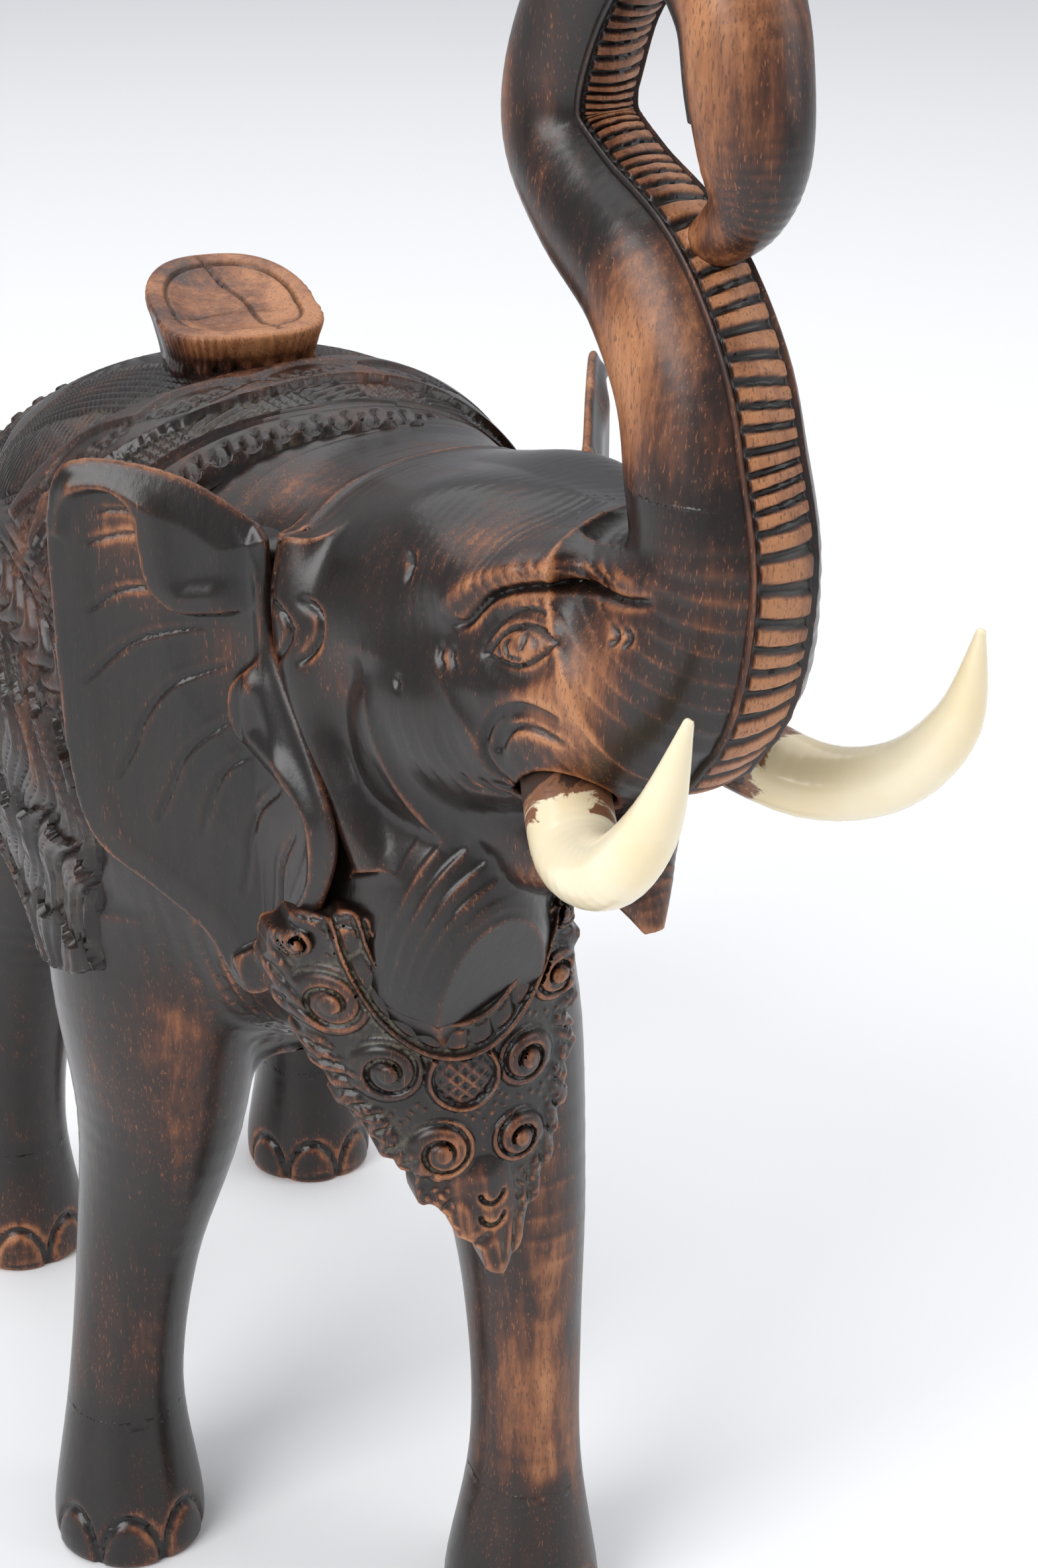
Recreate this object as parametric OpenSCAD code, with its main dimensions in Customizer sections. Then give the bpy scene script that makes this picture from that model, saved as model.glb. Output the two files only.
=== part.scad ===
// Carved wooden elephant, walking, with its head turned to its left and its trunk curled
// over into a closed loop. The body faces -Y and stands on Z = 0.
// Every round limb is a loft through a few rows [x, y, z, half width, half depth].

/* [Figure] */
// Angle that the head turns to its left
head_turn = 19; // [17:1:21]
// Half width of the barrel at its widest
barrel_r = 68; // [64:1:72]
// Height of the saddle cloth above the ground, under the seat
cloth_top = 321; // [316:1:326]
// Radius of the foot above the sole
foot_r = 20; // [18:0.5:21]

/* [Trunk and head] */
// Radius of the upper part of the trunk
trunk_r = 13; // [12:0.5:14]
// Height of the trunk's loop
loop_top = 445; // [441:1:450]
// Half width of the skull
skull_r = 41; // [39:0.5:43]

/* [Ears and tusks] */
// Thickness of an ear's blade
ear_t = 6; // [5:0.5:8]
// Radius of a tusk where it enters the head
tusk_r = 9.5; // [8.5:0.5:10.5]
// Diameter of the round tenon on each tusk
tusk_tenon_d = 11; // [9:0.5:12]
// Length of the tenon on each tusk
tusk_tenon_l = 18; // [14:1:20]

/* [Seat and chest ornament] */
// Width of the seat
seat_w = 42; // [38:1:46]
// Thickness of the chest ornament
ornament_t = 6; // [5:0.5:8]

/* [Dowels] */
// Diameter of the two dowels between body and head
neck_dowel_d = 12; // [8:1:14]
// Length of the two dowels between body and head
neck_dowel_l = 50; // [30:1:56]
// Diameter of the small dowels
dowel_d = 5; // [4:0.5:6]
// Length of the small dowels
dowel_l = 18; // [14:1:20]

/* [Hidden] */
$fn = 48;

dark_wood = "#2c1a12";
worn_wood = "#8a4e28";
bone = "#efe3c2";
pale_wood = "#b08a5e";

// The middle of the figure's outline, which is moved to the origin
figure_mid = [23.3, -51.2, 0];

// Head frame: hd(forward, left, up) measures from this point under the neck
head_origin = [26, -100, 0];
head_forward = [sin(head_turn), -cos(head_turn), 0];
head_left = [cos(head_turn), sin(head_turn), 0];
body_left = [1, 0, 0];
up = [0, 0, 1];

function hd(s, w, z) = head_origin + head_forward * s + head_left * w + up * z;
function head_row(r) = [each hd(r[0], r[1], r[2]), r[3], r[4]];
function head_rows(rows) = [for (r = rows) head_row(r)];
function unit(v) = v / norm(v);

// ---- Lofts -------------------------------------------------------------------------------

// A smooth curve through rows of numbers: every column blends alike
function blend4(a, b, c, d, t) =
  0.5 * (2 * b + (c - a) * t + (2 * a - 5 * b + 4 * c - d) * t * t
         + (3 * b - a - 3 * c + d) * t * t * t);
function smooth_rows(rows, steps) =
  let (last = len(rows) - 1)
  [for (i = [0 : last - 1], j = [0 : steps - 1])
     blend4(rows[max(i - 1, 0)], rows[i], rows[i + 1], rows[min(i + 2, last)], j / steps),
   rows[last]];
function place(row) = [row[0], row[1], row[2]];
function heading(rows, i) =
  unit(place(rows[min(i + 1, len(rows) - 1)]) - place(rows[max(i - 1, 0)]));

// A rounded section: flat = 1 is an ellipse, and smaller values square it
function bend(x, flat) = sign(x) * pow(abs(x), flat);
function section(row, t, side, sides, flat) =
  let (s = unit(side - t * (side * t)), n = cross(t, s))
  [for (k = [0 : sides - 1])
     place(row) + s * row[3] * bend(cos(360 * k / sides), flat)
                + n * row[4] * bend(sin(360 * k / sides), flat)];

// Joins rings with the same number of points into one closed solid
module skin(rings) {
  sides = len(rings[0]);
  last = len(rings) - 1;
  points = [for (ring = rings, p = ring) p];
  walls = [for (i = [0 : last - 1], k = [0 : sides - 1], half = [0, 1])
             let (a = i * sides + k, b = i * sides + (k + 1) % sides, c = a + sides, d = b + sides)
             half == 0 ? [a, c, d] : [a, d, b]];
  ends = [[for (k = [0 : sides - 1]) k],
          [for (k = [sides - 1 : -1 : 0]) last * sides + k]];
  polyhedron(points, concat(walls, ends), convexity = 8);
}
module loft(rows, side, sides = 20, steps = 3, flat = 1) {
  fine = smooth_rows(rows, steps);
  skin([for (i = [0 : len(fine) - 1]) section(fine[i], heading(fine, i), side, sides, flat)]);
}

// Takes organic solids that blend into each other as one mesh
module carve() resize([0, 0, 0]) children();

// ---- Shapes of the figure ------------------------------------------------------------------

torso_rows = [[0, 143, 194, 24, 34], [0, 128, 199, 45, 56], [0, 94, 207, 59, 71],
              [2, 45, 212, barrel_r - 3, 78], [4, 0, 217, barrel_r, 82],
              [6, -40, 224, barrel_r, 86], [10, -75, 228, 61, 83], [16, -105, 223, 45, 71],
              [21, -135, 213, 27, 59], [26, -156, 208, 23, 43], [29, -167, 204, 14, 24]];
dome_rows = [[1, 112, 212, 38, 42], [2, 78, 216, 54, 62], [3, 40, 222, 64, 72],
             [6, 0, cloth_top - 87, 70, 76], [8, -40, cloth_top - 80, 75, 80],
             [12, -75, cloth_top - 78, 69, 77], [18, -100, 240, 54, 64], [21, -116, 238, 32, 44]];

// Legs from below the sole upwards
function leg(x, y, knee, thigh) =
  [[x, y, -4, foot_r - 1, foot_r + 1], [x, y + 1, 8, foot_r + 0.5, foot_r + 2],
   each knee, each thigh];
legs = [
  leg(-46, -68, [[-44, -63, 45, 15.5, 17], [-38, -60, 85, 16.5, 19]],
      [[-30, -60, 125, 22, 27], [-28, -60, 165, 28, 34], [-26, -60, 195, 30, 36]]),
  leg(48, -132, [[50, -128, 45, 14.5, 17], [50, -127, 85, 14.5, 18]],
      [[48, -124, 125, 18, 24], [42, -115, 165, 26, 32], [36, -105, 195, 30, 36]]),
  leg(51, 108, [[51, 106, 45, 16.5, 18], [49, 104, 85, 19, 22]],
      [[44, 98, 125, 25, 31], [38, 88, 165, 27, 38], [30, 84, 200, 26, 34]]),
  leg(-51, 86, [[-51, 85, 45, 16.5, 18], [-49, 84, 85, 19, 22]],
      [[-44, 82, 125, 25, 31], [-38, 76, 165, 27, 38], [-30, 76, 200, 26, 34]])];

neck_rows = head_rows([[-60, 0, 224, 40, 60], [-10, 0, 244, 43, 62], [25, 0, 262, 42, 54],
                       [50, 0, 272, 40, 42]]);
skull_rows = head_rows([[-12, 0, 276, 34, 28], [5, 0, 279, skull_r, 33], [25, 0, 282, skull_r + 3, 36],
                        [45, 0, 284, skull_r + 2, 37], [65, 0, 287, skull_r - 1, 36],
                        [85, 0, 293, 34, 33], [100, 0, 300, 28, 28]]);
trunk_rows = head_rows([[86, 0, 284, 33, 26], [107, 0, 298, 28, 26], [118, 0, 320, 20.5, 20],
                        [115, 0, 340, 19, 18.5], [110, 0, 357, 18, 18], [98, 0, 374, 17.5, 17],
                        [80, 0, 386, 16, 15.5], [68, 0, 398, trunk_r + 1.5, trunk_r + 1],
                        [67, 0, 412, trunk_r + 0.5, trunk_r + 0.5],
                        [75, 0, 430, trunk_r, trunk_r], [88, 0, loop_top, trunk_r, trunk_r - 0.5],
                        [105, 0, loop_top, trunk_r - 0.5, trunk_r - 1],
                        [118, 0, 432, trunk_r - 0.5, trunk_r - 1],
                        [122, 0, 416, trunk_r - 0.5, trunk_r - 1],
                        [124, 0, 402, trunk_r - 2, trunk_r - 2.5], [122, 0, 393, 8, 8],
                        [114, 0, 386, 6, 6], [104, 0, 381, 4, 4]]);
jaw_rows = head_rows([[42, 0, 250, 32, 26], [65, 0, 246, 27, 20], [82, 0, 243, 21, 12],
                      [93, 0, 238, 13, 7], [99, 0, 229, 5, 3]]);

// The joint between body and head: an upright face under the cloth's border, and a ledge
// that slopes forward under the collar
joint_s = -8;
ledge = [[joint_s, 500], [joint_s, 226], [66, 196], [200, 196], [200, 500]];
module head_side()
  multmatrix([[head_forward.x, 0, head_left.x, head_origin.x],
              [head_forward.y, 0, head_left.y, head_origin.y],
              [0, 1, 0, 0],
              [0, 0, 0, 1]])
    translate([0, 0, -120])
      linear_extrude(height = 240)
        polygon(ledge);

module torso() {
  loft(torso_rows, body_left, sides = 28);
  loft(dome_rows, body_left, sides = 28, flat = 0.85);
}
module throat() {
  loft(neck_rows, head_left, sides = 24);
  loft(jaw_rows, head_left, sides = 16);
}

// Ears stand out behind a glue face at ear_seam, and follow this curve away from the head
ear_seam = 17;
ear_w = 45;
ear_flare = 0.85;
// An ear's outline as [forward, up], from the top of the seam round the back to the tip
ear_outline = [[19, 307], [4, 319], [-11, 323], [-20, 320], [-23, 306], [-23, 287], [-22, 251],
               [-18, 229], [-7, 217], [2, 207], [11, 191], [26, 207], [40, 230], [43, 245],
               [34, 262], [19, 286]];
ear_mid = [0, 268];
function ear_out(s) = ear_w + ear_flare * max(0, 15 - s);
function ear_ring(grow, out, hand) =
  let (rows = smooth_rows([each ear_outline, ear_outline[0]], 2))
  [for (i = [0 : len(rows) - 2])
     let (s = ear_mid.x + (rows[i][0] - ear_mid.x) * grow,
          z = ear_mid.y + (rows[i][1] - ear_mid.y) * grow)
     hd(s, hand * (ear_out(s) + out), z)];
module ear_blade(hand) {
  rings = [ear_ring(0.05, 0, hand), ear_ring(0.55, 0, hand), ear_ring(0.9, 1, hand),
           ear_ring(1, ear_t * 0.45, hand), ear_ring(0.93, ear_t, hand),
           ear_ring(0.55, ear_t - 1.5, hand), ear_ring(0.05, ear_t - 1.5, hand)];
  count = len(rings) - 1;
  skin(hand > 0 ? [for (i = [count : -1 : 0]) rings[i]] : rings);
}
// The block at an ear's root, which fills the pocket cut in the head
root_s = [-2, ear_seam];
root_w = [32, 47];
root_z = [260, 300];
module head_box(s, w, z)
  multmatrix([[head_forward.x, head_left.x, 0, head_origin.x],
              [head_forward.y, head_left.y, 0, head_origin.y],
              [0, 0, 1, 0],
              [0, 0, 0, 1]])
    translate([s[0], w[0], z[0]])
      cube([s[1] - s[0], w[1] - w[0], z[1] - z[0]]);
function hand_span(span, hand) = hand > 0 ? span : [-span[1], -span[0]];
module ear_root(hand) head_box(root_s, hand_span(root_w, hand), root_z);

// ---- Dowels and tenons ----------------------------------------------------------------------

// A cylinder from a point along a direction
module rod(from, along, d, l) {
  a = unit(along);
  translate(from)
    rotate([0, acos(a.z), atan2(a.y, a.x)])
      cylinder(h = l, d = d);
}
module rods(list, along, d, l) for (p = list) rod(p - unit(along) * l / 2, along, d, l);

neck_dowel_points = [for (w = [-20, 20]) hd(joint_s, w, 262)];
module neck_rods() rods(neck_dowel_points, head_forward, neck_dowel_d, neck_dowel_l);

seat_dowel_points = [for (y = [-46, -30]) [4, y, cloth_top]];
module seat_rods() rods(seat_dowel_points, up, dowel_d, dowel_l);

function ear_dowel_points(hand) = [for (z = [268, 290]) hd(ear_seam, hand * 39, z)];
module ear_rods(hand) rods(ear_dowel_points(hand), head_forward, dowel_d, dowel_l);

ornament_peg_points = [[10, -152, 178], [38, -152, 178]];
module ornament_rods() rods(ornament_peg_points, [0, -1, 0], dowel_d, dowel_l);

// ---- Carved pieces ---------------------------------------------------------------------------

tail_root = [0, 154, 220];
tail_tenon_l = 32;
tail_tenon_d = 8;
module tail_tenon() rod(tail_root - [0, tail_tenon_l, 0], [0, 1, 0], tail_tenon_d, tail_tenon_l);

// Everything under the soles of the feet
module below_ground() translate([-150, -300, -20]) cube([300, 500, 20]);

module body_block() color(dark_wood) difference() {
  carve() difference() {
    union() {
      torso();
      loft(neck_rows, head_left, sides = 24);
      for (rows = legs) loft(rows, body_left, sides = 18);
    }
    head_side();
  }
  below_ground();
  neck_rods();
  seat_rods();
  ornament_rods();
  tail_tenon();
}

tusk_root = 90;
// How far a tusk's tenon reaches into the tusk itself
tenon_overlap = 4;
function tusk_rows(hand) =
  head_rows([[tusk_root, hand * 19, 270, tusk_r, tusk_r], [112, hand * 32, 261, tusk_r, tusk_r - 1],
             [132, hand * 39, 267, tusk_r - 2, tusk_r - 2], [147, hand * 41, 284, 5.5, 5.5],
             [154, hand * 39, 307, 1, 1]]);
function tusk_axis(hand) = hd(112, hand * 32, 263) - hd(tusk_root, hand * 19, 270);
module tusk_rod(hand) {
  a = unit(tusk_axis(hand));
  rod(hd(tusk_root, hand * 19, 270) - a * tusk_tenon_l, a, tusk_tenon_d, tusk_tenon_l + tenon_overlap);
}
module tusk_blade(hand) loft(tusk_rows(hand), head_left, sides = 16);

plug_at = hd(80, 0, 412);
plug_d = 5;
plug_l = 6.4;
// How far the plug stands proud of plug_at
plug_proud = 0.4;
module plug() rod(plug_at + head_forward * (plug_proud - plug_l), head_forward, plug_d, plug_l);

module head_block() color(dark_wood) difference() {
  carve() difference() {
    intersection() {
      union() {
        torso();
        throat();
        loft(skull_rows, head_left, sides = 24, flat = 0.82);
        loft(trunk_rows, head_left, sides = 18);
      }
      head_side();
    }
    for (hand = [-1, 1]) {
      ear_blade(hand);
      ear_root(hand);
      tusk_blade(hand);
    }
  }
  neck_rods();
  for (hand = [-1, 1]) ear_rods(hand);
  for (hand = [-1, 1]) tusk_rod(hand);
  plug();
}

module ear(hand) color(dark_wood) difference() {
  carve() union() {
    ear_blade(hand);
    ear_root(hand);
  }
  ear_rods(hand);
}

module tusk(hand) color(bone) union() {
  tusk_blade(hand);
  tusk_rod(hand);
}

// The seat widens and rises towards its rounded back
module seat_ring_solid() {
  rings = [for (level = [[0.86, 304, 300, -48, -22], [0.86, 324, 322, -52, -22],
                         [0.98, 331, 339, -57, -8], [0.9, 332.5, 341, -55, -10]])
    let (half = seat_w / 2 * level[0])
    [for (k = [0 : 23])
       let (c = cos(360 * k / 24), s = sin(360 * k / 24),
            u = s > 0 ? 0.45 + 0.55 * s : 0.45 * (1 - pow(-s, 0.4)))
       [4 + half * bend(c, 0.75), level[3] + (level[4] - level[3]) * u,
        level[1] + (level[2] - level[1]) * u]]];
  skin(rings);
}
module seat() color(worn_wood) difference() {
  carve() difference() {
    seat_ring_solid();
    torso();
  }
  seat_rods();
}

// The chest ornament bends round the chest; rows are [up, left edge, right edge]
ornament_rows = [[222, -14, 52], [212, -19, 53], [200, -18, 54], [188, -12, 53], [176, -5, 52],
                 [160, 7, 46], [146, 17, 40], [132, 27, 36], [125, 31, 34]];
function chest_y(x) = -164.5 + pow(x - 25, 2) / 80;
ornament_across = 10;
function ornament_edge(r, depth, from_right) =
  [for (k = [0 : ornament_across])
     let (u = from_right ? 1 - k / ornament_across : k / ornament_across, x = r[1] + (r[2] - r[1]) * u)
     [x, chest_y(x) + depth, r[0]]];
module ornament_plate() {
  rows = smooth_rows(ornament_rows, 2);
  skin([for (r = rows) concat(ornament_edge(r, ornament_t, 0), ornament_edge(r, -ornament_t / 2, 1))]);
}
module chest_ornament() color(worn_wood) difference() {
  carve() difference() {
    ornament_plate();
    torso();
    throat();
    for (rows = legs) loft(rows, body_left, sides = 18);
  }
  ornament_rods();
}

module tail() color(dark_wood) union() {
  carve() difference() {
    loft([[0, 128, 238, 6, 6], [0, 142, 236, 7, 7], [0, 150, 222, 6, 6], [2, 152, 200, 4.5, 4.5],
          [4, 150, 172, 3.5, 3.5], [5, 149, 152, 6, 5], [6, 149, 138, 2, 2]], body_left, sides = 12);
    torso();
  }
  tail_tenon();
}

module trunk_plug() color(dark_wood) plug();
module neck_dowels() color(pale_wood) neck_rods();
module seat_dowels() color(pale_wood) seat_rods();
module ear_dowels(hand) color(pale_wood) ear_rods(hand);
module ornament_pegs() color(pale_wood) ornament_rods();

translate(-figure_mid) {
  body_block();
  head_block();
  seat();
  chest_ornament();
  ear(-1);  // right_ear
  ear(1);  // left_ear
  tusk(-1);  // right_tusk
  tusk(1);  // left_tusk
  tail();
  trunk_plug();
  neck_dowels();
  seat_dowels();
  ear_dowels(-1);  // right_ear_dowels
  ear_dowels(1);  // left_ear_dowels
  ornament_pegs();
}
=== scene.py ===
"""Looks of a carved wooden elephant with a saddle cloth, a seat, a chest ornament and tusks.

Shapes are worked out in the figure's own frame: millimetres, feet on z = 0, facing -y, its left at +x.
The head has a frame of its own, turned to the figure's left: forward, left, up.
"""
import math

import bpy
import numpy as np
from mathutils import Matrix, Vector


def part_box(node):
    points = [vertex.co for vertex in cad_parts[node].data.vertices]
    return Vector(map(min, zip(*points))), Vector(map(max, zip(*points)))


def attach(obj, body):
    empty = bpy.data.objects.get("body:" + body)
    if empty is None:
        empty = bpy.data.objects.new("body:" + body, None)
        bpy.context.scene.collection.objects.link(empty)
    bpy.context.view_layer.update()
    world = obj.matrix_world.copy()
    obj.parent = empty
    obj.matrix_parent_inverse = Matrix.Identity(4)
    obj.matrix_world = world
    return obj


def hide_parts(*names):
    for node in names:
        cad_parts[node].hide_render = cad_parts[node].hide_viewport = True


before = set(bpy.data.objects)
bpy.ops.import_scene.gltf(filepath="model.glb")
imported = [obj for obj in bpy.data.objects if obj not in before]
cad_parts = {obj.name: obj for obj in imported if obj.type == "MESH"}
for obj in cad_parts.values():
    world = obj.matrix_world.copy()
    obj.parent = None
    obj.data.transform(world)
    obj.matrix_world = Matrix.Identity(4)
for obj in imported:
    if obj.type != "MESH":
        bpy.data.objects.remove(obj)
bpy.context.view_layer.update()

# ---- Driving dimensions ----------------------------------------------------------------------

SEAT_DOWELS_AT = np.array([4.0, -38.0, 321.0])   # where the figure's frame puts the seat dowels
GRAIN = 1.0               # coarser meshes while trying things
BODY_STEP = 1.75 * GRAIN
FOOT_STEP = 1.1 * GRAIN
HEAD_STEP = 0.74 * GRAIN
TRUNK_STEP = 0.95 * GRAIN
EAR_STEP = 0.76 * GRAIN
ORNAMENT_STEP = 0.56 * GRAIN
TUSK_STEP = 0.75 * GRAIN
CLOTH_STEP = 0.76 * GRAIN
PLUG_STEP = 0.5

HEAD_TURN = math.radians(19)
HEAD_ORIGIN = np.array([26.0, -100.0, 0.0])
FORWARD = np.array([math.sin(HEAD_TURN), -math.cos(HEAD_TURN), 0.0])
LEFT = np.array([math.cos(HEAD_TURN), math.sin(HEAD_TURN), 0.0])
BODY_LEFT = np.array([1.0, 0.0, 0.0])
UP = np.array([0.0, 0.0, 1.0])
JOINT_S = -8.0        # the glue face between body and head, in the head's frame
LEDGE_TOP, LEDGE_LOW, LEDGE_END = 226.0, 196.0, 66.0      # the sloping ledge below that face
LEDGE_SLOPE = (LEDGE_TOP - LEDGE_LOW) / (LEDGE_END - JOINT_S)
JOINT_LAP = 4.0       # how far the body runs on inside the head
JOINT_INSET = 0.4     # and how far each block's skin lies under the other's there

low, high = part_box("seat_dowels")
FIGURE_MID = SEAT_DOWELS_AT - (np.array(low) + np.array(high)) * 500


def metres(points):
    return (np.asarray(points) - FIGURE_MID) / 1000


# ---- Curves and blends ------------------------------------------------------------------------

def smooth_rows(rows, steps):
    """A smooth curve through rows of numbers: every column blends alike."""
    rows = np.array(rows, float)
    last = len(rows) - 1
    out = []
    for i in range(last):
        a, b = rows[max(i - 1, 0)], rows[i]
        c, d = rows[i + 1], rows[min(i + 2, last)]
        for t in np.arange(steps) / steps:
            out.append(0.5 * (2 * b + (c - a) * t + (2 * a - 5 * b + 4 * c - d) * t * t
                              + (3 * b - a - 3 * c + d) * t ** 3))
    out.append(rows[last])
    return np.array(out)


def ramp(x, a, b):
    """0 below a, 1 above b, smooth between."""
    t = np.clip((x - a) / (b - a), 0, 1)
    return t * t * (3 - 2 * t)


def band(x, a, b, soft):
    return ramp(x, a - soft, a + soft) * (1 - ramp(x, b - soft, b + soft))


def blend_min(a, b, k):
    h = np.clip(0.5 + 0.5 * (b - a) / k, 0, 1)
    return b + (a - b) * h - k * h * (1 - h)


def blend_max(a, b, k):
    return -blend_min(-a, -b, k)


def unit(v):
    return v / np.linalg.norm(v, axis=-1, keepdims=True)


def head_point(s, w, z):
    return HEAD_ORIGIN + FORWARD * s + LEFT * w + UP * z


def head_rows(rows):
    return [[*head_point(r[0], r[1], r[2]), *r[3:]] for r in rows]


def to_head(p):
    rel = p - HEAD_ORIGIN
    return rel @ FORWARD, rel @ LEFT, p[:, 2]


def line_distance(x, y, points, steps=5):
    """Distance to a smooth line in a plane, and how far along it (0 to 1) the nearest point is."""
    pts = smooth_rows(points, steps)
    best = np.full(len(x), 1e9)
    along = np.zeros(len(x))
    count = len(pts) - 1
    for i in range(count):
        dx, dy = pts[i + 1] - pts[i]
        size = dx * dx + dy * dy + 1e-9
        t = np.clip(((x - pts[i][0]) * dx + (y - pts[i][1]) * dy) / size, 0, 1)
        d = np.hypot(x - pts[i][0] - t * dx, y - pts[i][1] - t * dy)
        near = d < best
        best = np.where(near, d, best)
        along = np.where(near, (i + t) / count, along)
    return best, along


def polygon_distance(x, y, points):
    """Signed distance to a closed outline, negative inside."""
    pts = np.asarray(points, float)
    best = np.full(len(x), 1e9)
    inside = np.zeros(len(x), bool)
    for (x0, y0), (x1, y1) in zip(pts, np.roll(pts, -1, axis=0)):
        dx, dy = x1 - x0, y1 - y0
        t = np.clip(((x - x0) * dx + (y - y0) * dy) / (dx * dx + dy * dy + 1e-9), 0, 1)
        best = np.minimum(best, np.hypot(x - x0 - t * dx, y - y0 - t * dy))
        crosses = (y0 > y) != (y1 > y)
        inside ^= crosses & (x < x0 + (y - y0) * dx / (dy if dy else 1e-9))
    return np.where(inside, -best, best)


END_REACH = 10.0      # how near a limb's end its flat end face is measured
NEAR = 14.0           # beyond this from a limb's box, a rough distance is enough
ROUGH_EXTRA = 6.0
INSIDE = -1e6         # a distance that never counts


class Limb:
    """A rounded limb along a smooth centre line through rows [x, y, z, half width, half depth]."""

    def __init__(self, rows, side, flat=1.0, steps=6):
        fine = smooth_rows(rows, steps)
        self.centre = fine[:, :3]
        self.half = fine[:, 3:5]
        self.power = 2 / flat
        heading = unit(np.gradient(self.centre, axis=0))
        self.side = unit(side - heading * (heading @ side)[:, None])
        self.deep = np.cross(heading, self.side)
        self.heading = heading
        self.start = self.centre[:-1]
        self.step = np.diff(self.centre, axis=0)
        self.size = (self.step ** 2).sum(1)
        self.run = np.concatenate([[0], np.cumsum(np.sqrt(self.size))])
        reach = self.half.max(1)[:, None]
        self.low = (self.centre - reach).min(0)
        self.high = (self.centre + reach).max(0)

    def coords(self, p):
        """Run along the limb, place across and in depth, half sizes there, and place past an end."""
        best = np.full(len(p), 1e18)
        index = np.zeros(len(p), int)
        part = np.zeros(len(p))
        for i, (start, step, size) in enumerate(zip(self.start, self.step, self.size)):
            rel = p - start
            t = np.clip(rel @ step / size, 0, 1)
            rel -= t[:, None] * step
            d = np.einsum("ij,ij->i", rel, rel)
            near = d < best
            best[near] = d[near]
            index[near] = i
            part[near] = t[near]
        t = part[:, None]
        rel = p - (self.centre[index] * (1 - t) + self.centre[index + 1] * t)
        side = self.side[index] * (1 - t) + self.side[index + 1] * t
        deep = self.deep[index] * (1 - t) + self.deep[index + 1] * t
        half = self.half[index] * (1 - t) + self.half[index + 1] * t
        run = self.run[index] * (1 - part) + self.run[index + 1] * part
        at_end = ((index == 0) & (part <= 0)) | ((index == len(self.start) - 1) & (part >= 1))
        over = np.where(run < END_REACH, (self.centre[0] - p) @ self.heading[0], INSIDE)
        beyond = (p - self.centre[-1]) @ self.heading[-1]
        over = np.maximum(over, np.where(run > self.run[-1] - END_REACH, beyond, INSIDE))
        u, v = (rel * side).sum(1), (rel * deep).sum(1)
        full = np.where(at_end, 1, np.linalg.norm(rel, axis=1) / np.maximum(np.hypot(u, v), 0.01))
        return run, u * full, v * full, half, over

    def __call__(self, p):
        outside = np.maximum(self.low - p, p - self.high)
        far = np.linalg.norm(np.maximum(outside, 0), axis=1)
        out = far + ROUGH_EXTRA
        near = far < NEAR
        if near.any():
            _, u, v, half, over = self.coords(p[near])
            u = np.where(np.abs(u) < 0.01, 0.01, u)
            rho = (np.abs(u / half[:, 0]) ** self.power + np.abs(v / half[:, 1]) ** self.power)
            rho = np.maximum(rho ** (1 / self.power), 1e-4)
            radial = np.hypot(u, v) * (1 - 1 / rho)
            out[near] = np.maximum(radial, over)
        return out


# ---- From a solid to a mesh ---------------------------------------------------------------------

CORNERS = np.array([[i & 1, i >> 1 & 1, i >> 2 & 1] for i in range(8)])
EDGES = [(a, b) for a in range(8) for b in range(a + 1, 8) if bin(a ^ b).count("1") == 1]


def active_cells(shape, low, high, step, levels, slack):
    size = step * 2 ** levels
    count = np.ceil((np.array(high) - low) / size).astype(int) + 1
    cells = np.stack(np.meshgrid(*[np.arange(n) for n in count], indexing="ij"), -1).reshape(-1, 3)
    for level in range(levels, -1, -1):
        size = step * 2 ** level
        centre = low + (cells + 0.5) * size
        keep = np.abs(shape(centre)) < size * 0.87 * slack
        cells = cells[keep]
        if level:
            cells = (cells[:, None, :] * 2 + CORNERS).reshape(-1, 3)
    return cells


def solid_mesh(shape, low, high, step, levels=4, slack=1.9):
    """A closed quad mesh of the surface where shape(points) is zero; shape is negative inside."""
    low = np.array(low, float)
    cells = active_cells(shape, low, high, step, levels, slack)
    span = int(max((np.array(high) - low) / step)) + 40
    key = lambda c: (c[..., 0] * span + c[..., 1]) * span + c[..., 2]
    corner = (cells[:, None, :] + CORNERS).reshape(-1, 3)
    _, first, back = np.unique(key(corner), return_index=True, return_inverse=True)
    value = shape(low + corner[first] * step)
    value[value == 0] = 1e-6
    value = value[back.reshape(-1)].reshape(-1, 8)
    mixed = (value.min(1) < 0) & (value.max(1) > 0)
    cells, value = cells[mixed], value[mixed]
    total = np.zeros((len(cells), 3))
    hits = np.zeros(len(cells))
    for a, b in EDGES:
        cross = (value[:, a] < 0) != (value[:, b] < 0)
        t = value[cross, a] / (value[cross, a] - value[cross, b])
        total[cross] += CORNERS[a] + t[:, None] * (CORNERS[b] - CORNERS[a])
        hits[cross] += 1
    verts = low + (cells + total / hits[:, None]) * step
    cell_key = key(cells)
    order = np.argsort(cell_key)
    ordered = cell_key[order]
    quads = []
    for axis in range(3):
        u, v = np.eye(3, dtype=int)[(axis + 1) % 3], np.eye(3, dtype=int)[(axis + 2) % 3]
        near, far = value[:, 0], value[:, 1 << axis]
        cross = (near < 0) != (far < 0)
        base = cells[cross]
        ring = np.stack([key(base), key(base - u), key(base - u - v), key(base - v)], 1)
        place = np.clip(np.searchsorted(ordered, ring), 0, len(ordered) - 1)
        good = (ordered[place] == ring).all(1)
        ring = order[place]
        flip = near[cross] > 0
        ring[flip] = ring[flip][:, ::-1]
        quads.append(ring[good])
    quads = np.concatenate(quads)
    return snap(shape, verts, step), quads


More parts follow.
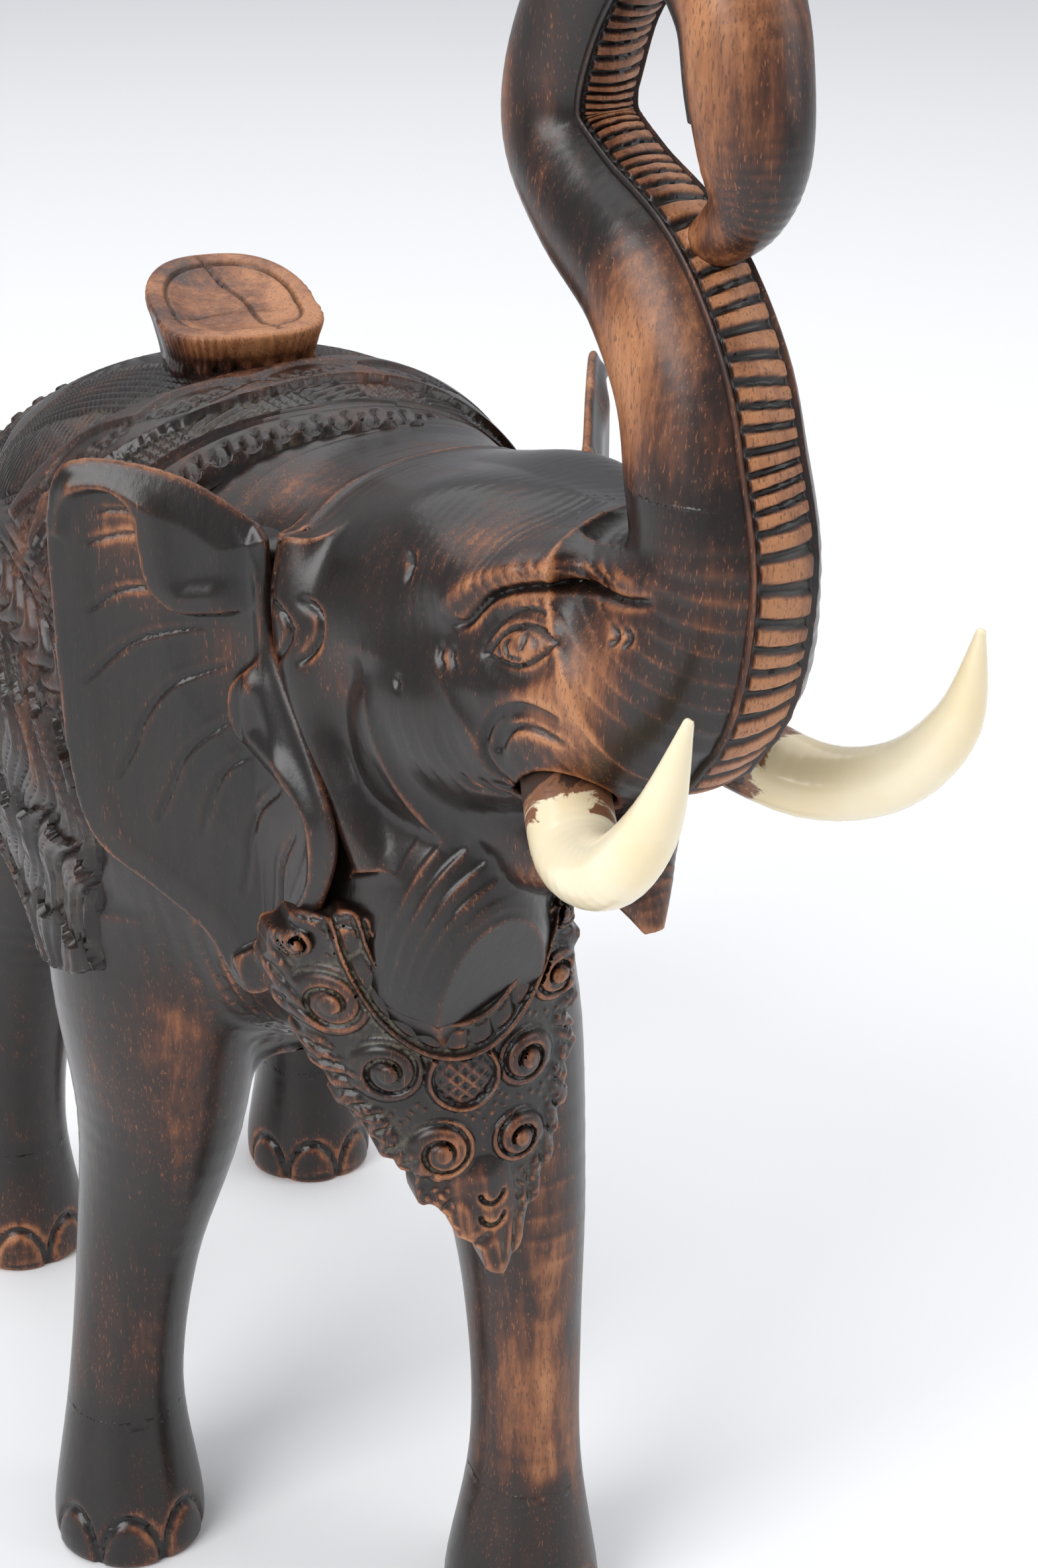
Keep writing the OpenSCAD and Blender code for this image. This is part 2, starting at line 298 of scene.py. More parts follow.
def snap(shape, verts, step):
    """Moves points onto the surface by one step along its slope."""
    reach = step * 0.35
    value = shape(verts)
    slope = np.stack([shape(verts + axis * reach) - value for axis in np.eye(3)], 1) / reach
    square = np.maximum((slope ** 2).sum(1), 0.3)
    move = slope * (value / square)[:, None]
    size = np.linalg.norm(move, axis=1, keepdims=True)
    return verts - move * np.minimum(1, step * 0.6 / np.maximum(size, 1e-9))


def spread(values, quads, count):
    """The mean of each point's neighbours."""
    a = quads.ravel()
    b = np.roll(quads, -1, axis=1).ravel()
    degree = np.bincount(a, minlength=count) + np.bincount(b, minlength=count)
    columns = values.reshape(count, -1)
    out = np.empty_like(columns)
    for i in range(columns.shape[1]):
        out[:, i] = (np.bincount(a, columns[b, i], count) + np.bincount(b, columns[a, i], count))
    return (out / np.maximum(degree, 1)[:, None]).reshape(values.shape)


def normals(verts, quads):
    p = verts[quads]
    face = np.cross(p[:, 2] - p[:, 0], p[:, 3] - p[:, 1])
    out = np.stack([sum(np.bincount(quads[:, k], face[:, i], len(verts)) for k in range(4))
                    for i in range(3)], 1)
    return out / np.maximum(np.linalg.norm(out, axis=1, keepdims=True), 1e-12)


def hollow(verts, quads, step, reach=1.2):
    """How far each point lies below (+) or stands above (-) its surroundings, in millimetres."""
    rounds = int(max(2, (reach / step) ** 2 * 2))
    mean = verts
    for _ in range(rounds):
        mean = spread(mean, quads, len(verts))
    return ((mean - verts) * normals(verts, quads)).sum(1)


def wear_patches(verts, patches):
    """Where handling has rubbed the finish through: blobs [x, y, z, radius, strength]."""
    total = np.zeros(len(verts))
    for x, y, z, radius, strength in patches:
        square = ((verts - (x, y, z)) ** 2).sum(1)
        total += strength * np.exp(-square / radius ** 2)
    return total


def add_piece(name, verts, quads, nodes, material, marks):
    """Makes a Blender piece from millimetre points, with one number per point for each mark."""
    mesh = bpy.data.meshes.new(name)
    mesh.vertices.add(len(verts))
    mesh.vertices.foreach_set("co", metres(verts).astype(np.float32).ravel())
    mesh.loops.add(quads.size)
    mesh.loops.foreach_set("vertex_index", quads.astype(np.int32).ravel())
    mesh.polygons.add(len(quads))
    mesh.polygons.foreach_set("loop_start", np.arange(0, quads.size, 4, dtype=np.int32))
    mesh.update(calc_edges=True)
    mesh.validate()
    mesh.shade_smooth()
    mesh.set_sharp_from_angle(angle=math.radians(58))
    for mark, values in marks.items():
        layer = mesh.attributes.new(mark, "FLOAT", "POINT")
        layer.data.foreach_set("value", np.asarray(values, np.float32))
    mesh.materials.append(material)
    piece = bpy.data.objects.new(name, mesh)
    bpy.context.scene.collection.objects.link(piece)
    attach(piece, "root")
    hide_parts(*nodes)
    return piece


def grid_quads(rows, columns, closed):
    """Quads of a grid of points, each row closed into a ring or left open."""
    i, j = np.meshgrid(np.arange(rows - 1), np.arange(columns if closed else columns - 1),
                       indexing="ij")
    k = (j + 1) % columns
    return np.stack([i * columns + j, i * columns + k, (i + 1) * columns + k,
                     (i + 1) * columns + j], -1).reshape(-1, 4)


# ---- The carving's blocks -----------------------------------------------------------------------

TORSO = Limb([[0, 150, 191, 10, 15], [0, 143, 194, 24, 34], [0, 128, 199, 45, 56],
              [0, 94, 207, 59, 71], [2, 45, 212, 65, 78], [4, 0, 217, 68, 82],
              [6, -40, 224, 68, 86], [10, -75, 228, 61, 83], [16, -105, 223, 45, 71],
              [21, -135, 213, 27, 59], [26, -156, 208, 23, 43], [29, -167, 204, 14, 24]], BODY_LEFT)
DOME = Limb([[1, 112, 212, 38, 42], [2, 78, 216, 54, 62], [3, 40, 222, 64, 72], [6, 0, 234, 70, 76],
             [8, -40, 241, 75, 80], [12, -75, 243, 69, 77], [18, -100, 240, 54, 64],
             [21, -116, 238, 32, 44]], BODY_LEFT, flat=0.85)
LEGS = [Limb(rows, BODY_LEFT) for rows in (
    [[-46, -68, -4, 19, 21], [-46, -67, 8, 20.5, 22], [-44, -63, 45, 15.5, 17],
     [-38, -60, 85, 16.5, 19], [-30, -60, 125, 22, 27], [-28, -60, 165, 28, 34],
     [-26, -60, 195, 30, 36]],
    [[48, -132, -4, 19, 21], [48, -131, 8, 20.5, 22], [50, -128, 45, 14.5, 17],
     [50, -127, 85, 14.5, 18], [48, -124, 125, 18, 24], [42, -115, 165, 26, 32],
     [36, -105, 195, 30, 36]],
    [[51, 108, -4, 19, 21], [51, 109, 8, 20.5, 22], [51, 106, 45, 16.5, 18],
     [49, 104, 85, 19, 22], [44, 98, 125, 25, 31], [38, 88, 165, 27, 38], [30, 84, 200, 26, 34]],
    [[-51, 86, -4, 19, 21], [-51, 87, 8, 20.5, 22], [-51, 85, 45, 16.5, 18],
     [-49, 84, 85, 19, 22], [-44, 82, 125, 25, 31], [-38, 76, 165, 27, 38],
     [-30, 76, 200, 26, 34]])]
NECK = Limb(head_rows([[-60, 0, 224, 40, 60], [-10, 0, 244, 43, 62], [25, 0, 262, 42, 54],
                       [50, 0, 272, 40, 42]]), LEFT)
SKULL = Limb(head_rows([[-12, 0, 276, 34, 28], [5, 0, 279, 41, 33], [25, 0, 282, 44, 36],
                        [45, 0, 284, 43, 37], [65, 0, 287, 40, 36], [85, 0, 293, 34, 33],
                        [100, 0, 300, 28, 28]]), LEFT, flat=0.82)
TRUNK_ROWS = head_rows([[86, 0, 284, 33, 26], [107, 0, 298, 28, 26], [118, 0, 320, 20.5, 20],
                        [115, 0, 340, 19, 18.5], [110, 0, 357, 18, 18], [98, 0, 374, 17.5, 17],
                        [80, 0, 386, 16, 15.5], [68, 0, 398, 14.5, 14], [67, 0, 412, 13.5, 13.5],
                        [75, 0, 430, 13, 13], [88, 0, 445, 13, 12.5], [105, 0, 445, 12.5, 12],
                        [118, 0, 432, 12.5, 12], [122, 0, 416, 12.5, 12], [124, 0, 402, 11, 10.5],
                        [122, 0, 393, 8, 8], [114, 0, 386, 6, 6], [104, 0, 381, 4, 4]])
TRUNK = Limb(TRUNK_ROWS, LEFT)
# The tip touches the trunk lower down, so the solid is made of two limbs that overlap in the loop
TRUNK_LOW, TRUNK_LOOP = Limb(TRUNK_ROWS[:11], LEFT), Limb(TRUNK_ROWS[8:], LEFT)


def trunk_solid(p):
    return np.minimum(TRUNK_LOW(p), TRUNK_LOOP(p))


JAW = Limb(head_rows([[42, 0, 250, 32, 26], [65, 0, 246, 27, 20], [82, 0, 243, 21, 12],
                      [93, 0, 238, 10, 6], [99, 0, 228, 2.4, 2]]), LEFT)
NAPE = Limb(head_rows([[-34, 0, 272, 56, 44], [-14, 0, 276, 50, 42.5], [4, 0, 279, 44, 37],
                       [18, 0, 281, 40, 34]]), LEFT, flat=0.76)
EAR_BASES = [Limb(head_rows([[21, hand * 38, 307, 6, 6], [23, hand * 40.5, 290, 7, 7],
                             [30, hand * 40.5, 268, 7, 7], [41, hand * 39.5, 250, 7, 7],
                             [46, hand * 37, 236, 6, 6]]), LEFT) for hand in (-1, 1)]
TUSKS = {hand: Limb(head_rows([[90, hand * 19, 270, 9.5, 9.5], [112, hand * 32, 261, 9.5, 8.5],
                               [132, hand * 39, 267, 7.5, 7.5], [147, hand * 41, 284, 5.5, 5.5],
                               [154, hand * 39, 307, 1, 1]]), LEFT) for hand in (-1, 1)}
TAIL = Limb([[0, 128, 238, 6, 6], [0, 142, 236, 7, 7], [0, 150, 222, 6, 6], [2, 152, 200, 4.5, 4.5],
             [4, 150, 172, 3.5, 3.5], [5, 149, 152, 6, 5], [6, 149, 138, 2, 2]], BODY_LEFT)

# Lines cut into each side of the head, in its frame: (half width, depth, points [forward, up]).
# A negative depth is a raised fold.
FACE_CUTS = [
    (0.6, 1.1, [[83.3, 297], [87.5, 302.5], [91.5, 305], [96, 305.2], [100.5, 303.6]]),   # upper lid
    (0.55, 0.9, [[83.3, 297], [88, 296.8], [93, 297.3], [97, 299.6], [100.5, 303.6]]),    # lower lid
    (0.5, 0.6, [[83, 300.2], [87, 306], [91.5, 308.6], [96.5, 308.9]]),                   # fold
    (0.5, 0.8, [[90, 302.6], [89.4, 300.6], [91.2, 298.7], [94, 299.2]]),
    (0.45, 0.6, [[93.2, 304], [93.8, 302.4], [93.4, 301]]),
    (3.4, -2.6, [[71, 303], [77, 311], [88, 317], [103, 319.5], [118, 320]]),     # brow
    (1.0, 1.8, [[74, 301.5], [77, 302.5], [83, 309.5], [94, 313.5], [112, 314.8], [120, 316.5]]),
    (0.8, 1.2, [[21.3, 293.4], [25.5, 291], [27.4, 287.5], [25.5, 283], [21.1, 278.9]]),
    (0.9, 1.4, [[29.2, 295.1], [33.5, 293], [34.5, 289], [33, 285], [30.6, 281.7]]),
    (0.8, 1.0, [[55.6, 312], [58.5, 310], [58.6, 306.4]]),
    (0.7, 0.9, [[71, 296], [71.4, 293.4], [73.4, 291.7]]),
    (0.7, 0.9, [[74.2, 296.4], [74.7, 294], [76.6, 292.2]]),
    (0.7, 0.8, [[61, 287], [61.4, 285.4], [62.6, 284.2]]),
    (0.7, 0.9, [[76.5, 267.6], [77.2, 265], [79.6, 264]]),
    (0.7, 0.9, [[80.5, 267.2], [81.2, 264.8], [83.6, 263.8]]),
    (0.7, 0.9, [[112.5, 309.6], [114, 308], [113, 306.3]]),
    (0.7, 0.9, [[115.8, 310], [117.2, 308.4], [116.2, 306.7]]),
    (0.9, 1.3, [[90, 267.7], [85.6, 271.5], [85, 278.5], [88.3, 285.5], [95.5, 289], [103, 288.3]]),
    (0.8, 1.1, [[88.1, 277.7], [91.5, 282.5], [96.6, 284.7], [104.2, 283.2]]),
    (2.6, 1.5, [[88, 276], [92, 286.5], [104, 286.5]]),
    (1.0, 1.5, [[84, 266.5], [90, 262], [97, 256], [104, 249], [108, 244]]),     # lip of the jaw
]
EYE_AT = (91.8, 300.9)
DEEPEST, PROUDEST = 1.6, -4.0
SIDE_FROM = 14.0      # the fine carving keeps this far from the head's middle plane
EAR_SEAM, EAR_SEAM_HALF = 19.6, 0.55      # the line where an ear's root meets the head


def face_relief(s, w, z):
    """Depth of carving on the sides of the head: + cuts in, - stands proud."""
    depth = np.zeros(len(s))
    cut = np.zeros(len(s))
    side = np.flatnonzero((np.abs(w) > SIDE_FROM) & (s > 14) & (s < 128) & (z > 226) & (z < 330))
    if not len(side):
        return depth, cut
    x, y = s[side], z[side]
    here = np.zeros(len(side))
    groove = np.zeros(len(side))
    for half, deep, points in FACE_CUTS:
        line = np.array(points)
        near = ((x > line[:, 0].min() - 9) & (x < line[:, 0].max() + 9)
                & (y > line[:, 1].min() - 9) & (y < line[:, 1].max() + 9))
        if near.any():
            d, along = line_distance(x[near], y[near], points)
            taper = np.sqrt(np.clip(4.6 * along * (1 - along) + 0.12, 0, 1))
            mark = taper * np.exp(-(d / half) ** 2)
            here[near] += deep * mark
            if deep > 0 and half < 1.5:
                groove[near] = np.maximum(groove[near], mark)
    eye = np.hypot((x - EYE_AT[0]) / 4.8, (y - EYE_AT[1]) / 3.4)
    here -= 1.0 * np.sqrt(np.clip(1 - eye ** 2, 0, 1))
    here += 0.8 * np.exp(-((eye - 1.8) / 0.6) ** 2)
    depth[side] = np.clip(here, PROUDEST, DEEPEST)
    cut[side] = groove
    return depth, cut


def head_masses(p):
    """The head's smooth masses, before the fine cuts."""
    s, w, z = to_head(p)
    skull = blend_min(blend_min(SKULL(p), trunk_solid(p), 13), NAPE(p), 6)
    for base in EAR_BASES:
        skull = blend_min(skull, base(p), 6)
    # brow and forehead swellings, and the hollow between them
    side = np.abs(w)
    bump = lambda a, b, c, r, h: h * np.exp(-((s - a) ** 2 + (side - b) ** 2 + (z - c) ** 2) / r ** 2)
    skull = skull - bump(50, 20, 316, 16, 3.6) - bump(68, 33, 311, 8, 2.6) - bump(84, 30, 317, 10, 2.2)
    skull = skull + bump(76, 10, 322, 12, 3.0) + bump(74, 38, 300, 7, 1.2) + bump(62, 42, 296, 9, 1.4)
    throat = blend_min(NECK(p), JAW(p), 9)
    # cheek: a swelling with a furrow behind and below it
    cheek = np.hypot((s - 66) / 23, (z - 268) / 24)
    swell = np.exp(-(cheek / 0.95) ** 4) * 2.6 * ramp(side, 12, 26)
    furrow = np.exp(-((cheek - 1.12) / 0.2) ** 2) * 2.6 * ramp(side, 16, 28) * (1 - ramp(s, 78, 92))
    furrow = furrow * (1 - ramp(z, 280, 290))
    all_masses = blend_min(skull, throat, 7)
    return all_masses - swell + furrow


def whole_body(p):
    d = blend_min(TORSO(p), DOME(p) + 2.4, 7)
    for leg in LEGS:
        d = blend_min(d, leg(p), 9)
    return d


def joint_gap(p):
    """Below zero on the head's side of the glue joint."""
    s, _, z = to_head(p)
    wall = JOINT_S - s
    ledge = (LEDGE_TOP - (s - JOINT_S) * LEDGE_SLOPE - z) / math.hypot(1, LEDGE_SLOPE)
    return np.maximum(wall, np.where(s < LEDGE_END, ledge, LEDGE_LOW - z))


def common_shape(p):
    """The figure's skin without fine carving, shared by body and head so that they meet."""
    d = whole_body(p)
    s, _, z = to_head(p)
    near = (s > -50) & (z > 165)
    if near.any():
        d[near] = blend_min(d[near], head_masses(p[near]), 5)
    return d


def head_shape(p):
    s, w, z = to_head(p)
    d = common_shape(p) + JOINT_INSET * ramp(joint_gap(p), -0.5, 2.0)
    for hand in (-1, 1):
        d = blend_max(d, -(TUSKS[hand](p) - 0.9), 1.2)
    d = d + face_relief(s, w, z)[0]
    seam = (s - EAR_SEAM) / EAR_SEAM_HALF
    return d + np.exp(-seam ** 2) * (np.abs(w) > 36) * (z > 262) * (z < 309)


def body_shape(p):
    gap = joint_gap(p)
    return np.maximum(common_shape(p) + JOINT_INSET * ramp(-gap, -0.5, 2.0), -(gap + JOINT_LAP))


def figure_box(*names):
    boxes = [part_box(name) for name in names]
    lows = np.min([np.array(b[0]) for b in boxes], axis=0) * 1000 + FIGURE_MID
    highs = np.max([np.array(b[1]) for b in boxes], axis=0) * 1000 + FIGURE_MID
    return lows - 4, highs + 4


# ---- Ears -----------------------------------------------------------------------------------------

EAR_OUTLINE = smooth_rows([[19, 307], [4, 319], [-11, 323], [-20, 320], [-23, 306], [-23, 287],
                           [-22, 251], [-18, 229], [-7, 217], [2, 207], [11, 191], [26, 207],
                           [40, 230], [43, 245], [34, 262], [19, 286], [19, 307]], 6)[:-1]
# The membrane lies lower than the folded root, behind this stepped line
EAR_MEMBRANE = smooth_rows([[-19, 304], [-17.5, 311], [-12.5, 315.5], [-7.5, 315], [-4.4, 311],
                            [-3.6, 303], [-2.2, 294], [2.5, 288.3], [10, 288.6], [17.5, 290],
                            [20.5, 286], [17.4, 279], [12.2, 273], [11.3, 265.5], [13.5, 258],
                            [21.5, 254.6], [32.5, 250.2], [37, 242], [34.8, 230], [28.5, 220],
                            [18.5, 209.5], [9, 202]], 5)
EAR_VEINS = [
    [[-12.5, 310.6], [-8, 311.2], [-4.6, 310.6]],
    [[-14.6, 303], [-9, 305.4], [-4.8, 306]],
    [[-15.3, 286.6], [-9.6, 291.9], [-2.4, 293.4]],
    [[-16.6, 269], [-9.6, 278.2], [-2.9, 282.4], [5.6, 285]],
    [[-11, 246], [-8, 254], [-5.7, 262], [-0.1, 270.5], [9.6, 276.3]],
    [[-4, 236], [-1.5, 242.8], [2.5, 254.1], [11.3, 264]],
    [[4.6, 233], [6.7, 242.9], [9.5, 250.5], [14.4, 255]],
    [[11.6, 219], [13.1, 227.4], [15.2, 239.5], [23.8, 248.6]],
    [[21.6, 213], [23.1, 221.6], [24.4, 230.3], [29.5, 239.4]],
]


# An ear stands this far from the head's middle, and flares out behind EAR_BEND
EAR_OUT, EAR_BEND, EAR_FLARE = 45, 15, 0.85


def ear_parts(p, hand):
    """Place in the head's frame, height over the ear's inner face, rim distance, outer face, cuts."""
    s, w, z = to_head(p)
    out = hand * w - (EAR_OUT + EAR_FLARE * np.maximum(0, EAR_BEND - s))
    rim = polygon_distance(s, z, EAR_OUTLINE)
    low_side = np.concatenate([EAR_MEMBRANE, [[2, 170], [-60, 170], [-60, 300]]])
    step_line = polygon_distance(s, z, low_side)
    inner = ramp(-step_line, -0.9, 1.3)
    drop = 2.9 - 1.4 * ramp(275 - z, 0, 45)
    swell = 1.6 * np.exp(-((step_line - 4.0) / 3.5) ** 2)
    top = 3.2 + 3.4 * ramp(-rim, 0, 8) + swell * ramp(-rim, 2, 8) - drop * inner * ramp(-rim, 0, 9)
    # the membrane sags between its veins, and its rim turns up a little
    top = top - 0.9 * inner * np.sin(np.clip(-rim, 0, 24) / 24 * math.pi)
    cut = np.zeros(len(s))
    for points in EAR_VEINS:
        d, along = line_distance(s, z, points)
        taper = np.sqrt(np.clip(4.4 * along * (1 - along) + 0.1, 0, 1))
        mark = taper * np.exp(-(d / 0.5) ** 2)
        top = top - 0.7 * mark + 0.16 * taper * np.exp(-((d - 1.6) / 1.0) ** 2)
        cut = np.maximum(cut, mark)
    seam = np.exp(-(step_line / 0.7) ** 2) * ramp(-rim, 1, 5)
    top = top - 0.5 * seam
    return s, w, z, out, rim, top, np.maximum(cut, seam)


def ear_shape(hand):
    def shape(p):
        s, w, z, out, rim, top, _ = ear_parts(p, hand)
        lean = np.where(s < EAR_BEND, 1 / math.hypot(1, EAR_FLARE), 1.0)
        plate = blend_max((out - top) * lean, (0.4 - out) * lean, 1.6)
        blade = blend_max(plate, rim, 2.2)
        root = ((np.abs(s - 7) / 11) ** 4 + (np.abs(z - 281) / 23) ** 4 + 1e-9) ** 0.25
        root = np.maximum((root - 1) * 9, np.maximum(hand * w - 49, 30 - hand * w))
        return blend_min(blade, root, 3.0)
    return shape


# ---- Ornament ---------------------------------------------------------------------------------------

ORNAMENT_EDGE = [[-3, 224], [-13, 221], [-18.5, 212], [-17.5, 200], [-12, 192], [-11.5, 186],
                 [-6, 181], [-4.5, 174], [1, 169], [4.5, 161], [11, 156], [12.5, 148.5], [19, 145],
                 [20.5, 138], [26.5, 135], [28, 129.5], [32, 125.5], [34.5, 130], [37.5, 137],
                 [41, 143], [43.5, 150], [47.5, 156], [48, 163], [51.5, 169], [50.5, 176],
                 [54, 182], [51.5, 189], [54.5, 195], [52, 202], [54.5, 210], [51.5, 217], [52, 224]]
SCROLLS = [  # centre, radius, turn
    (-6.5, 201, 8.6, 1), (5.0, 184.5, 8.2, 1), (38.5, 184, 7.6, -1), (47, 203, 7.0, -1),
    (17.0, 163, 8.0, 1), (36.5, 163.5, 7.0, -1), (49, 219, 5.0, 1), (-13, 215, 4.0, -1)]
FLOWER = (22.5, 182.5, 9.4)
COLLAR_MID = (21, 233)
COLLAR_SIZE = (24.5, 40)
COLLAR_SPREAD = 30
COLLAR_INSIDE = 6.9     # the ornament is open inside the collar's bands


def collar_place(x, z):
    """Distance out from the collar's middle line, about, and the angle round it."""
    across, rise = (x - COLLAR_MID[0]) / COLLAR_SIZE[0], (z - COLLAR_MID[1]) / COLLAR_SIZE[1]
    return (np.hypot(across, rise) - 1) * COLLAR_SPREAD, np.arctan2(rise, across)


def chest_y(x):
    return -164.5 + (x - 25) ** 2 / 80


def ornament_relief(x, z):
    """Height of the carving above the ornament's ground, and the signed distance to the ornament's
    outline.
    """
    height = 0.5 * np.sin(x * 1.9 + 1.3 * np.sin(z * 0.8)) * np.sin(z * 1.6 + 1.1 * np.sin(x * 0.7))
    for cx, cz, radius, turn in SCROLLS:
        dx, dz = x - cx, z - cz
        r = np.hypot(dx, dz)
        a = np.arctan2(dz, dx * turn)
        body = np.sqrt(np.clip(1.15 - (r / radius) ** 2, 0, 1))
        coil = (r / (radius * 0.52) - a / (2 * math.pi)) % 1
        groove = np.exp(-((coil - 0.5) / 0.16) ** 2) * ramp(r, radius * 0.18, radius * 0.34)
        boss = 1.2 * np.sqrt(np.clip(1 - (r / (radius * 0.3)) ** 2, 0, 1))
        scroll = 3.4 * body - 2.0 * groove * body + boss
        height = np.where(r < radius * 1.07, np.maximum(height, scroll - 0.3), height)
        moat = np.exp(-((r - radius * 1.17) / 0.7) ** 2)
        height = height - 1.1 * moat
    dx, dz = x - FLOWER[0], z - FLOWER[1]
    r, a = np.hypot(dx, dz), np.arctan2(dz, dx)
    ring = np.exp(-((r - FLOWER[2] * 0.88) / 0.9) ** 2) * 2.4
    lattice = np.maximum(np.abs(np.cos((dx + dz) * 0.85)), np.abs(np.cos((dx - dz) * 0.85)))
    face = 1.8 * np.sqrt(np.clip(1 - (r / (FLOWER[2] * 0.8)) ** 2, 0, 1)) * (0.35 + 0.65 * lattice)
    height = np.where(r < FLOWER[2], np.maximum(ring, face + 0.2), height)
    # two smooth collar bands with a row of lozenges between them
    gap, turn = collar_place(x, z)
    beads = 1.5 * np.abs(np.sin(turn * 13)) ** 0.6
    bands = (2.6 * np.exp(-((gap + 3.1) / 0.9) ** 2) + 2.6 * np.exp(-((gap - 3.6) / 0.9) ** 2)
             + 1.2 * np.exp(-((gap + 5.6) / 0.8) ** 2)
             + beads * band(gap, -1.8, 2.2, 0.5))
    height = np.where((gap < 4.7) & (z < 226), bands, height)
    # the pointed leaf below
    leaf = band(z, 128, 157, 3) * np.clip(1 - np.abs(x - (27.5 + (150 - z) * 0.17)) / 8, 0, 1)
    height = np.maximum(height, 2.6 * np.sqrt(leaf))
    for cz in (150.5, 144.5):
        dx, dz = x - 29, z - cz
        r = np.hypot(dx, dz)
        crescent = np.exp(-((r - 3.0) / 0.6) ** 2) * ramp(-dz, -0.6, 1.2)
        height = height - 1.7 * crescent
    # veins that run out to the serrated edge
    rim = polygon_distance(x, z, ORNAMENT_EDGE)
    fan = np.arctan2(z - 190, x - 20)
    veins = np.abs(np.sin(fan * 21 + 0.35 * rim))
    height = height + ramp(rim, -6.5, -3) * (1.5 * veins ** 0.8 - 0.4) * (z < 221)
    return height, rim


def ornament_shape(p):
    x, y, z = p.T
    height, rim = ornament_relief(x, z)
    rim = rim - 0.7 * np.sin(np.arctan2(z - 185, x - 20) * 34)
    rim = np.maximum(rim, -collar_place(x, z)[0] - COLLAR_INSIDE)
    face = chest_y(x) - 0.6 - height * 0.95 - y
    back = y - chest_y(x) - 9
    return blend_max(blend_max(face * 0.62, rim * 0.9, 1.2), back, 0.5)


# ---- Seat ---------------------------------------------------------------------------------------------

def seat_piece_points():
    around, side_rows, top_rows = 220, 44, 60
    levels = smooth_rows([[0.86, 304, 300, -48, -22], [0.87, 322, 321, -52, -21],
                          [0.92, 327, 333, -55, -13], [0.98, 331, 339, -57, -8],
                          [0.96, 332.4, 341, -56.6, -8.4], [0.9, 332.8, 341.3, -55, -10]],
                         side_rows // 5)
    angle = np.linspace(0, 2 * math.pi, around, endpoint=False)
    c, s = np.cos(angle), np.sin(angle)
    u = np.where(s > 0, 0.45 + 0.55 * s, 0.45 * (1 - np.abs(s) ** 0.4))
    rows = []
    for k, front_z, rear_z, front_y, rear_y in levels:
        half = 21 * k
        x = 4 + half * np.sign(c) * np.abs(c) ** 0.75
        rows.append(np.stack([x, front_y + (rear_y - front_y) * u,
                              front_z + (rear_z - front_z) * u], 1))
    rows = np.array(rows)
    # rope notches round the foot at the front, and tool marks on the flared wall
    z_low = rows[:, :, 2]
    front = s[None, :] < 0.1
    notch = np.clip(np.sin(rows[:, :, 0] * 1.15 + (z_low - 322) * 0.5), 0, 1) ** 0.6
    foot = np.exp(-((z_low - 322.6) / 1.5) ** 2) * front
    outward = np.stack([c, s, 0 * c], 1)[None]
    rows = rows + outward * (0.9 * foot - 1.7 * notch * foot)[:, :, None]
    rows = rows + outward * (0.22 * np.sin(angle * 57)[None, :] * band(z_low, 322, 337, 2))[:, :, None]
    rim = rows[-1]
    mid = rim.mean(0)
    inward = np.linspace(1, 0, top_rows + 1)[1:-1] ** 0.9
    flat = (mid + (rim - mid) * inward[:, None, None]).reshape(-1, 3)
    reach = np.repeat(inward, around)
    # a shallow dish, a groove inside its rim, a split along it and a fine line across
    dish = -2.6 * ramp(1 - reach, 0.0, 0.55)
    rim_groove = -0.9 * np.exp(-((reach - 0.83) / 0.022) ** 2)
    d_mid, _ = line_distance(flat[:, 0], flat[:, 1], [[1, -9], [4, -20], [8, -32], [9, -43], [12, -55]])
    d_cross, _ = line_distance(flat[:, 0], flat[:, 1], [[-13, -44], [-2, -39], [10, -38], [23, -40]])
    lift = dish + rim_groove - 1.0 * np.exp(-(d_mid / 0.55) ** 2) - 0.5 * np.exp(-(d_cross / 0.35) ** 2)
    flat[:, 2] += lift
    verts = np.concatenate([rows.reshape(-1, 3), flat])
    # the rope notches, the split and the rim groove take the cut mark: painted shade
    cut = np.concatenate([(foot * notch).ravel(),
                          np.maximum(np.exp(-(d_mid / 0.8) ** 2), np.exp(-((reach - 0.83) / 0.03) ** 2))])
    total_rows = len(rows) + len(inward)
    return verts, close_ends(grid_quads(total_rows, around, True), total_rows, around), cut


def close_ends(quads, rows, columns):
    """Closes both ends of a tube of rings with strips across the opening."""
    half = columns // 2
    strips = []
    for base, flip in ((0, True), ((rows - 1) * columns, False)):
        i = np.arange(half - 1)
        ring = np.stack([base + i, base + i + 1, base + (columns - 2 - i) % columns,
                         base + (columns - 1 - i) % columns], 1)
        strips.append(ring[:, ::-1] if flip else ring)
    return np.concatenate([quads] + strips)


# ---- Saddle cloth -----------------------------------------------------------------------------------

CLOTH_BACK = 104.0      # y of the cloth's rear edge
CLOTH_SPLIT = 14.0      # y where the cloth's fine front piece ends
HEM_TURN = math.radians(131)
CLOTH_LIFT = 1.3
CLOTH_RELIEF = 1.3      # how boldly the pattern is cut
CLOTH_RUN = 196.0       # length of the pattern from the front border to the rear one
CLOTH_SUNK = 3.5
AXIS_X, AXIS_Z = 6.0, 228.0      # the line that the cloth wraps round


def ridge(x, at, half):
    return np.exp(-((x - at) / half) ** 2)


def hatch(u, v, turn, pitch):
    """Close parallel V cuts at an angle: 0 in a cut, 1 between cuts."""
    phase = (u * math.cos(turn) + v * math.sin(turn)) / pitch
    return np.abs(np.sin(math.pi * phase)) ** 0.8


